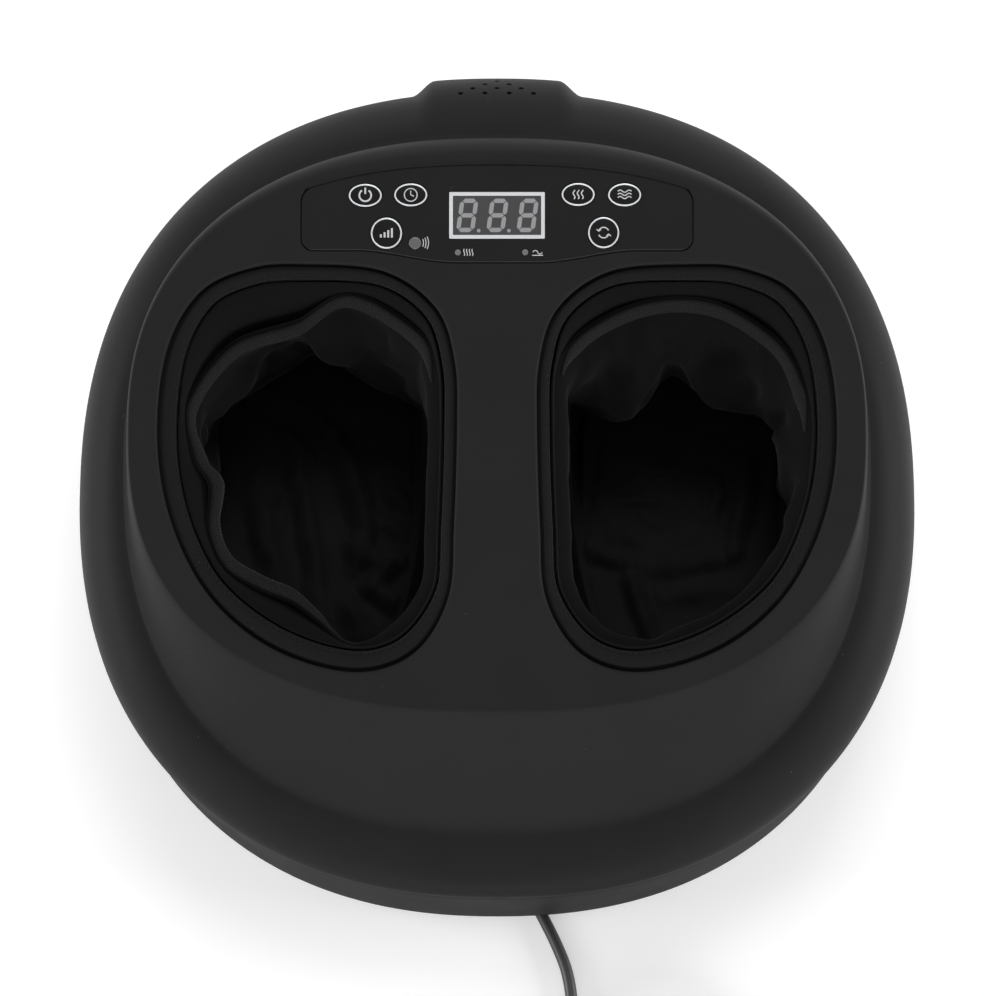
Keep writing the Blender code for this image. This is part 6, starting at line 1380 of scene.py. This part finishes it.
panel_holes = [oval(half[0] + CLEARANCE, half[1] + CLEARANCE, (x * PANEL_HALF_WIDTH, s * MM))
               for name, x, s, half in BUTTONS]
panel_holes += [oval(INDICATOR_RADIUS + 0.15 * MM, INDICATOR_RADIUS + 0.15 * MM, (x, s), 32)
                for name, x, s in INDICATOR_PLACES]
panel_holes.append(oval(LENS_RADIUS + CLEARANCE, LENS_RADIUS + CLEARANCE, LENS_PLACE, 48))
panel_holes.append(rectangle(DISPLAY_HALF[0] + CLEARANCE, DISPLAY_HALF[1] + CLEARANCE,
                             (0.0, DISPLAY_S), 0.4 * MM))
panel_under = -PANEL_SUNK - PANEL_THICK
edge = panel_outline(0.0)
plate = Shell()
plate_top, plate_bottom = plate.rings([on_deck(offset_outline(edge, inset * MM), n) for inset, n in (
    (0.7, -PANEL_SUNK), (0.55, -PANEL_SUNK), (0.3, -0.45 * MM), (0.0, -0.65 * MM),
    (0.0, panel_under))])
plate.pierce(plate_top, plate_bottom, [lip(hole, -PANEL_SUNK, 0.15 * MM, panel_under, 2)
                                       for hole in panel_holes])
panel_satin = moulded_finish("satin_black_panel", (0.0085, 0.0085, 0.0090), 0.34, 1.2 * MM,
                             0.008 * MM, specular=0.12, specks=0.02)
set_piece("panel_plate", plate, "housing", ["control_panel"], panel_satin, 30)

# The printed signs. Thin white ink strokes on the panel, each a plain sign of what it stands
# for: heat waves and arcs beside the two indicators, and radio arcs beside the receiver.
INK_WHITE = (0.62, 0.63, 0.64)
INK_THICK = 0.05 * MM
SIGN_STROKE = 0.36


def stroke_mesh(name, lines, width, place):
    """Flat ribbons of ink along lines in millimetres; place gives the surface under a point."""
    ink = Shell()
    for line in lines:
        points = [Vector(point) for point in line]
        left = []
        right = []
        for index, point in enumerate(points):
            along = points[min(index + 1, len(points) - 1)] - points[max(index - 1, 0)]
            across = Vector((-along.y, along.x)).normalized() * width / 2
            left.append(point + across)
            right.append(point - across)
        outline = left + right[::-1]
        ink.loft([[place(p.x, p.y, level) for p in outline] for level in (-INK_THICK, INK_THICK)])
    return ink.mesh(name)


def arc(radius, start, end, centre=(0.0, 0.0), steps=20):
    return [(centre[0] + radius * math.cos(math.radians(start + (end - start) * step / steps)),
             centre[1] + radius * math.sin(math.radians(start + (end - start) * step / steps)))
            for step in range(steps + 1)]


def ripple_line(x, low, high, swing, waves=1.5, upright=True, steps=16):
    """A wavy stroke, upright or lying."""
    points = []
    for step in range(steps + 1):
        share = step / steps
        off = x + swing * math.sin(2 * math.pi * waves * share)
        along = low + (high - low) * share
        points.append((off, along) if upright else (along, off))
    return points


ink_white = moulded_finish("white_ink", INK_WHITE, 0.5, 0.3 * MM, 0.004 * MM)
HEAT_SIGN = [ripple_line(x, -1.5, 1.5, 0.22, 1.0) for x in (-1.8, -0.6, 0.6, 1.8)]
KNEAD_SIGN = [arc(1.1, 20, 160, (-1.0, -0.4)), arc(1.1, 200, 340, (1.0, 0.3)),
              [(-2.4, -1.4), (2.4, -1.4)]]
RADIO_SIGN = [arc(radius, -27, 27) for radius in (3.7, 4.8, 5.9)]
for name, sign, centre in (
        ("heat_sign", HEAT_SIGN, (INDICATOR_PLACES[0][1] + 4.6 * MM, INDICATOR_PLACES[0][2])),
        ("knead_sign", KNEAD_SIGN, (INDICATOR_PLACES[1][1] + 5.4 * MM, INDICATOR_PLACES[1][2])),
        ("radio_sign", RADIO_SIGN, LENS_PLACE)):
    signs = stroke_mesh(name, sign, SIGN_STROKE, lambda x, y, n: deck_point(
        centre[0] + x * MM, centre[1] + y * MM, -PANEL_SUNK + n))
    set_piece(name, signs, "housing", [], ink_white)

# The buttons. Six domed caps that stand a little proud of the panel, each with a silver ring
# around its rim and a plain sign on its face; they ride on their own bodies.
BUTTON_TOP = 0.3 * MM
BUTTON_RIM = -0.05 * MM
RING_WIDTH = 0.65 * MM
RING_EDGE = 0.12 * MM
CAP_ROWS = (0.2, 0.6, 1.2, 2.0, 3.0, 4.0, 4.8)
POWER_SIGN = [arc(2.6, 125, 415), [(0.0, 0.6), (0.0, 3.4)]]
CLOCK_SIGN = [arc(2.8, 0, 360, steps=32), [(0.0, 1.8), (0.0, 0.0), (1.4, -0.6)]]
BARS_SIGN = [[(-2.4, -1.9), (-2.4, -0.5)], [(-0.8, -1.9), (-0.8, 0.4)], [(0.8, -1.9), (0.8, 1.3)],
             [(2.4, -1.9), (2.4, 2.2)]]
HOT_SIGN = [ripple_line(x, -2.0, 2.0, 0.4, 1.2) for x in (-1.8, 0.0, 1.8)]
CALM_SIGN = [ripple_line(y, -3.0, 3.0, 0.5, 1.5, upright=False) for y in (-1.2, 0.2, 1.6)]
CYCLE_SIGN = [arc(2.3, 25, 165), arc(2.3, 205, 345), [(-3.1, 1.5), (-2.2, 0.6), (-1.2, 1.4)],
              [(3.1, -1.5), (2.2, -0.6), (1.2, -1.4)]]
SIGNS = {"power": (POWER_SIGN, 0.75), "timer": (CLOCK_SIGN, 0.45), "intensity": (BARS_SIGN, 0.85),
         "heating": (HOT_SIGN, 0.5), "relax": (CALM_SIGN, 0.45), "mode": (CYCLE_SIGN, 0.5)}

button_black = moulded_finish("satin_black_caps", (0.0060, 0.0060, 0.0063), 0.3, 0.8 * MM,
                              0.006 * MM, specular=0.12)
ring_silver = moulded_finish("silver_rings", (0.66, 0.67, 0.69), 0.32, 0.3 * MM, 0.003 * MM,
                             metallic=0.5)


def on_cap(centre, half, x, y, lift):
    """The point over a place on a cap's dome, given from the cap's centre."""
    out = min((x / half[0]) ** 2 + (y / half[1]) ** 2, 1.0)
    return deck_point(centre.x + x, centre.y + y,
                      BUTTON_RIM + (BUTTON_TOP - BUTTON_RIM) * (1 - out) + lift)


def cap_ring(centre, half, inset, lift):
    return [on_cap(centre, half, p.x, p.y, lift)
            for p in oval(half[0] - inset, half[1] - inset, (0, 0))]


for name, share, s, half in BUTTONS:
    centre = Vector((share * PANEL_HALF_WIDTH, s * MM))
    body = name + "_button"
    rows = [on_deck(oval(*half, centre), n * MM) for n in (-1.9, -0.3)]
    rows.append(cap_ring(centre, half, 0.08 * MM, -0.12 * MM))
    rows += [cap_ring(centre, half, inset * MM, 0.0) for inset in CAP_ROWS]
    set_piece(name + "_cap", Shell().loft(rows), body, [body], button_black, 40)
    rim = Shell().hoop([cap_ring(centre, half, inset, lift * MM) for inset, lift in (
        (RING_EDGE, -0.05), (RING_EDGE, 0.08), (0.3 * MM, 0.14), (RING_WIDTH, 0.14),
        (RING_EDGE + RING_WIDTH, 0.08), (RING_EDGE + RING_WIDTH, -0.05))])
    set_piece(name + "_ring", rim, body, [], ring_silver, 50)
    lines, width = SIGNS[name]
    sign = stroke_mesh(name + "_sign", lines, width,
                       lambda x, y, lift: on_cap(centre, half, x * MM, y * MM, lift))
    set_piece(name + "_sign", sign, body, [], ink_white)

# The digit window. A grey reflective display behind a white printed frame, with three slanted
# seven-bar digits and two points, all bars lit pale grey as in the photograph.
DISPLAY_CORNER = 0.4 * MM
FRAME_LINE = 1.7 * MM
WINDOW_GREY = (0.068, 0.068, 0.070)
BAR_GREY = (0.30, 0.30, 0.31)
DIGIT_CENTRES = (-13.0, 0.2, 13.4)
DIGIT_HALF_WIDTH = 3.05
DIGIT_HALF_HEIGHT = 6.4
DIGIT_SLANT = math.tan(math.radians(8))
BAR_WIDTH = 1.9
BAR_GAP = 0.22
POINT_PLACES = ((-8.0, -6.7), (5.2, -6.7))
POINT_RADIUS = 0.8


def on_window(x, y, lift):
    return deck_point(x * MM, DISPLAY_S + y * MM, -0.42 * MM + lift)


def window_ring(inset, n):
    return on_deck(rectangle(DISPLAY_HALF[0] - inset, DISPLAY_HALF[1] - inset, (0.0, DISPLAY_S),
                             DISPLAY_CORNER), n)


window_grey = moulded_finish("grey_window", WINDOW_GREY, 0.4, 0.5 * MM, 0.004 * MM,
                             specular=0.1)
window = Shell().loft([window_ring(inset * MM, n * MM)
                       for inset, n in ((0.0, -1.6), (0.0, -0.5), (0.08, -0.42))])
set_piece("digit_window", window, "housing", ["display_window"], window_grey, 30)
surround = Shell().hoop([window_ring(inset, n * MM) for inset, n in (
    (0.1 * MM, -0.45), (0.1 * MM, -0.33), (0.2 * MM, -0.3), (FRAME_LINE - 0.1 * MM, -0.3),
    (FRAME_LINE, -0.33), (FRAME_LINE, -0.45))])
frame_white = moulded_finish("white_frame", (0.70, 0.71, 0.72), 0.45, 0.3 * MM, 0.003 * MM)
set_piece("window_frame", surround, "housing", [], frame_white, 30)


def digit_bars(centre):
    """The seven bars of one figure, as outlines with pointed ends."""
    wide = DIGIT_HALF_WIDTH
    high = DIGIT_HALF_HEIGHT
    half = BAR_WIDTH / 2
    bars = []
    for y in (-high, 0.0, high):
        a = -wide + BAR_GAP
        b = wide - BAR_GAP
        bars.append(((a, y), (a + half, y + half), (b - half, y + half), (b, y),
                     (b - half, y - half), (a + half, y - half)))
    for x in (-wide, wide):
        for low, top in ((-high + BAR_GAP, -BAR_GAP), (BAR_GAP, high - BAR_GAP)):
            bars.append(((x, low), (x + half, low + half), (x + half, top - half), (x, top),
                         (x - half, top - half), (x - half, low + half)))
    return [[(centre + x + DIGIT_SLANT * y, y) for x, y in bar] for bar in bars]


digits = Shell()
outlines = [bar for centre in DIGIT_CENTRES for bar in digit_bars(centre)]
outlines += [arc(POINT_RADIUS, 0, 337.5, place, 15) for place in POINT_PLACES]
for outline in outlines:
    digits.loft([[on_window(x, y, level) for x, y in outline] for level in (-INK_THICK, INK_THICK)])
bar_grey = moulded_finish("pale_bars", BAR_GREY, 0.5, 0.5 * MM, 0.004 * MM)
set_piece("digit_bars", digits, "housing", [], bar_grey)

# The receiver and the indicators. A small smoked lens with a coarse grain stands beside the
# intensity button, and two grey light guides stand beside their printed signs.
lens_grey = moulded_finish("smoked_receiver", (0.105, 0.105, 0.11), 0.3, 0.7 * MM, 0.05 * MM)
guide_grey = moulded_finish("grey_light_guides", (0.14, 0.14, 0.145), 0.35, 0.5 * MM, 0.02 * MM)
for name, radius, place, node, finish in (
        ("receiver_lens", LENS_RADIUS, LENS_PLACE, "ir_lens", lens_grey),
        ("heat_guide", INDICATOR_RADIUS, INDICATOR_PLACES[0][1:], "heat_indicator", guide_grey),
        ("massage_guide", INDICATOR_RADIUS, INDICATOR_PLACES[1][1:], "massage_indicator",
         guide_grey)):
    bottom = -5.0 if node == "ir_lens" else -4.0
    dome = Shell().loft([on_deck(oval(radius * grow, radius * grow, place, 40), n * MM) for grow, n in (
        (1.0, bottom), (1.0, -0.5), (0.96, -0.36), (0.85, -0.26), (0.6, -0.18), (0.3, -0.15))])
    set_piece(name, dome, "housing", [node], finish)

# What the cover hides. The drive, the air parts and the boards stay as the frame has them, each
# in its own finish: ground steel, acetal gears, pressed aluminium, welded film, lacquered boards.
WHEELS = ["%s_%s" % (side, end) for side in ("left", "right") for end in ("front", "rear")]
for name, colour, roughness, grain, depth, metallic, nodes in (
        ("ground_steel", (0.58, 0.58, 0.60), 0.3, 0.25, 0.008, 1.0, ["worm_shaft"]),
        ("zinc_motor_can", (0.50, 0.50, 0.52), 0.38, 0.4, 0.01, 1.0, ["drive_motor"]),
        ("rolled_aluminium", (0.74, 0.74, 0.76), 0.42, 0.4, 0.01, 1.0, ["left_heater", "right_heater"]),
        ("natural_nylon_frame", (0.52, 0.52, 0.49), 0.5, 0.5, 0.02, 0.0, ["chassis"]),
        ("ivory_gears", (0.72, 0.69, 0.60), 0.4, 0.5, 0.02, 0.0, [w + "_wheel" for w in WHEELS]),
        ("grey_heads", (0.24, 0.24, 0.26), 0.5, 0.5, 0.02, 0.0, [w + "_head" for w in WHEELS]),
        ("dark_bearings", (0.09, 0.10, 0.16), 0.45, 0.5, 0.02, 0.0, ["left_bearing", "right_bearing"]),
        ("grey_film", (0.32, 0.35, 0.39), 0.35, 1.5, 0.05, 0.0,
         ["left_air_bag", "right_air_bag", "left_air_hose", "right_air_hose"]),
        ("green_lacquer", (0.03, 0.15, 0.06), 0.4, 1.1, 0.06, 0.0, ["power_board", "control_board"]),
        ("black_module", (0.03, 0.03, 0.032), 0.5, 0.5, 0.02, 0.0,
         ["display_module", "wiring_loom", "air_pump", "valve_block"])):
    finish = moulded_finish(name, colour, roughness, grain * MM, depth * MM, metallic=metallic)
    for node in nodes:
        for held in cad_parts[node].material_slots:
            held.material = finish
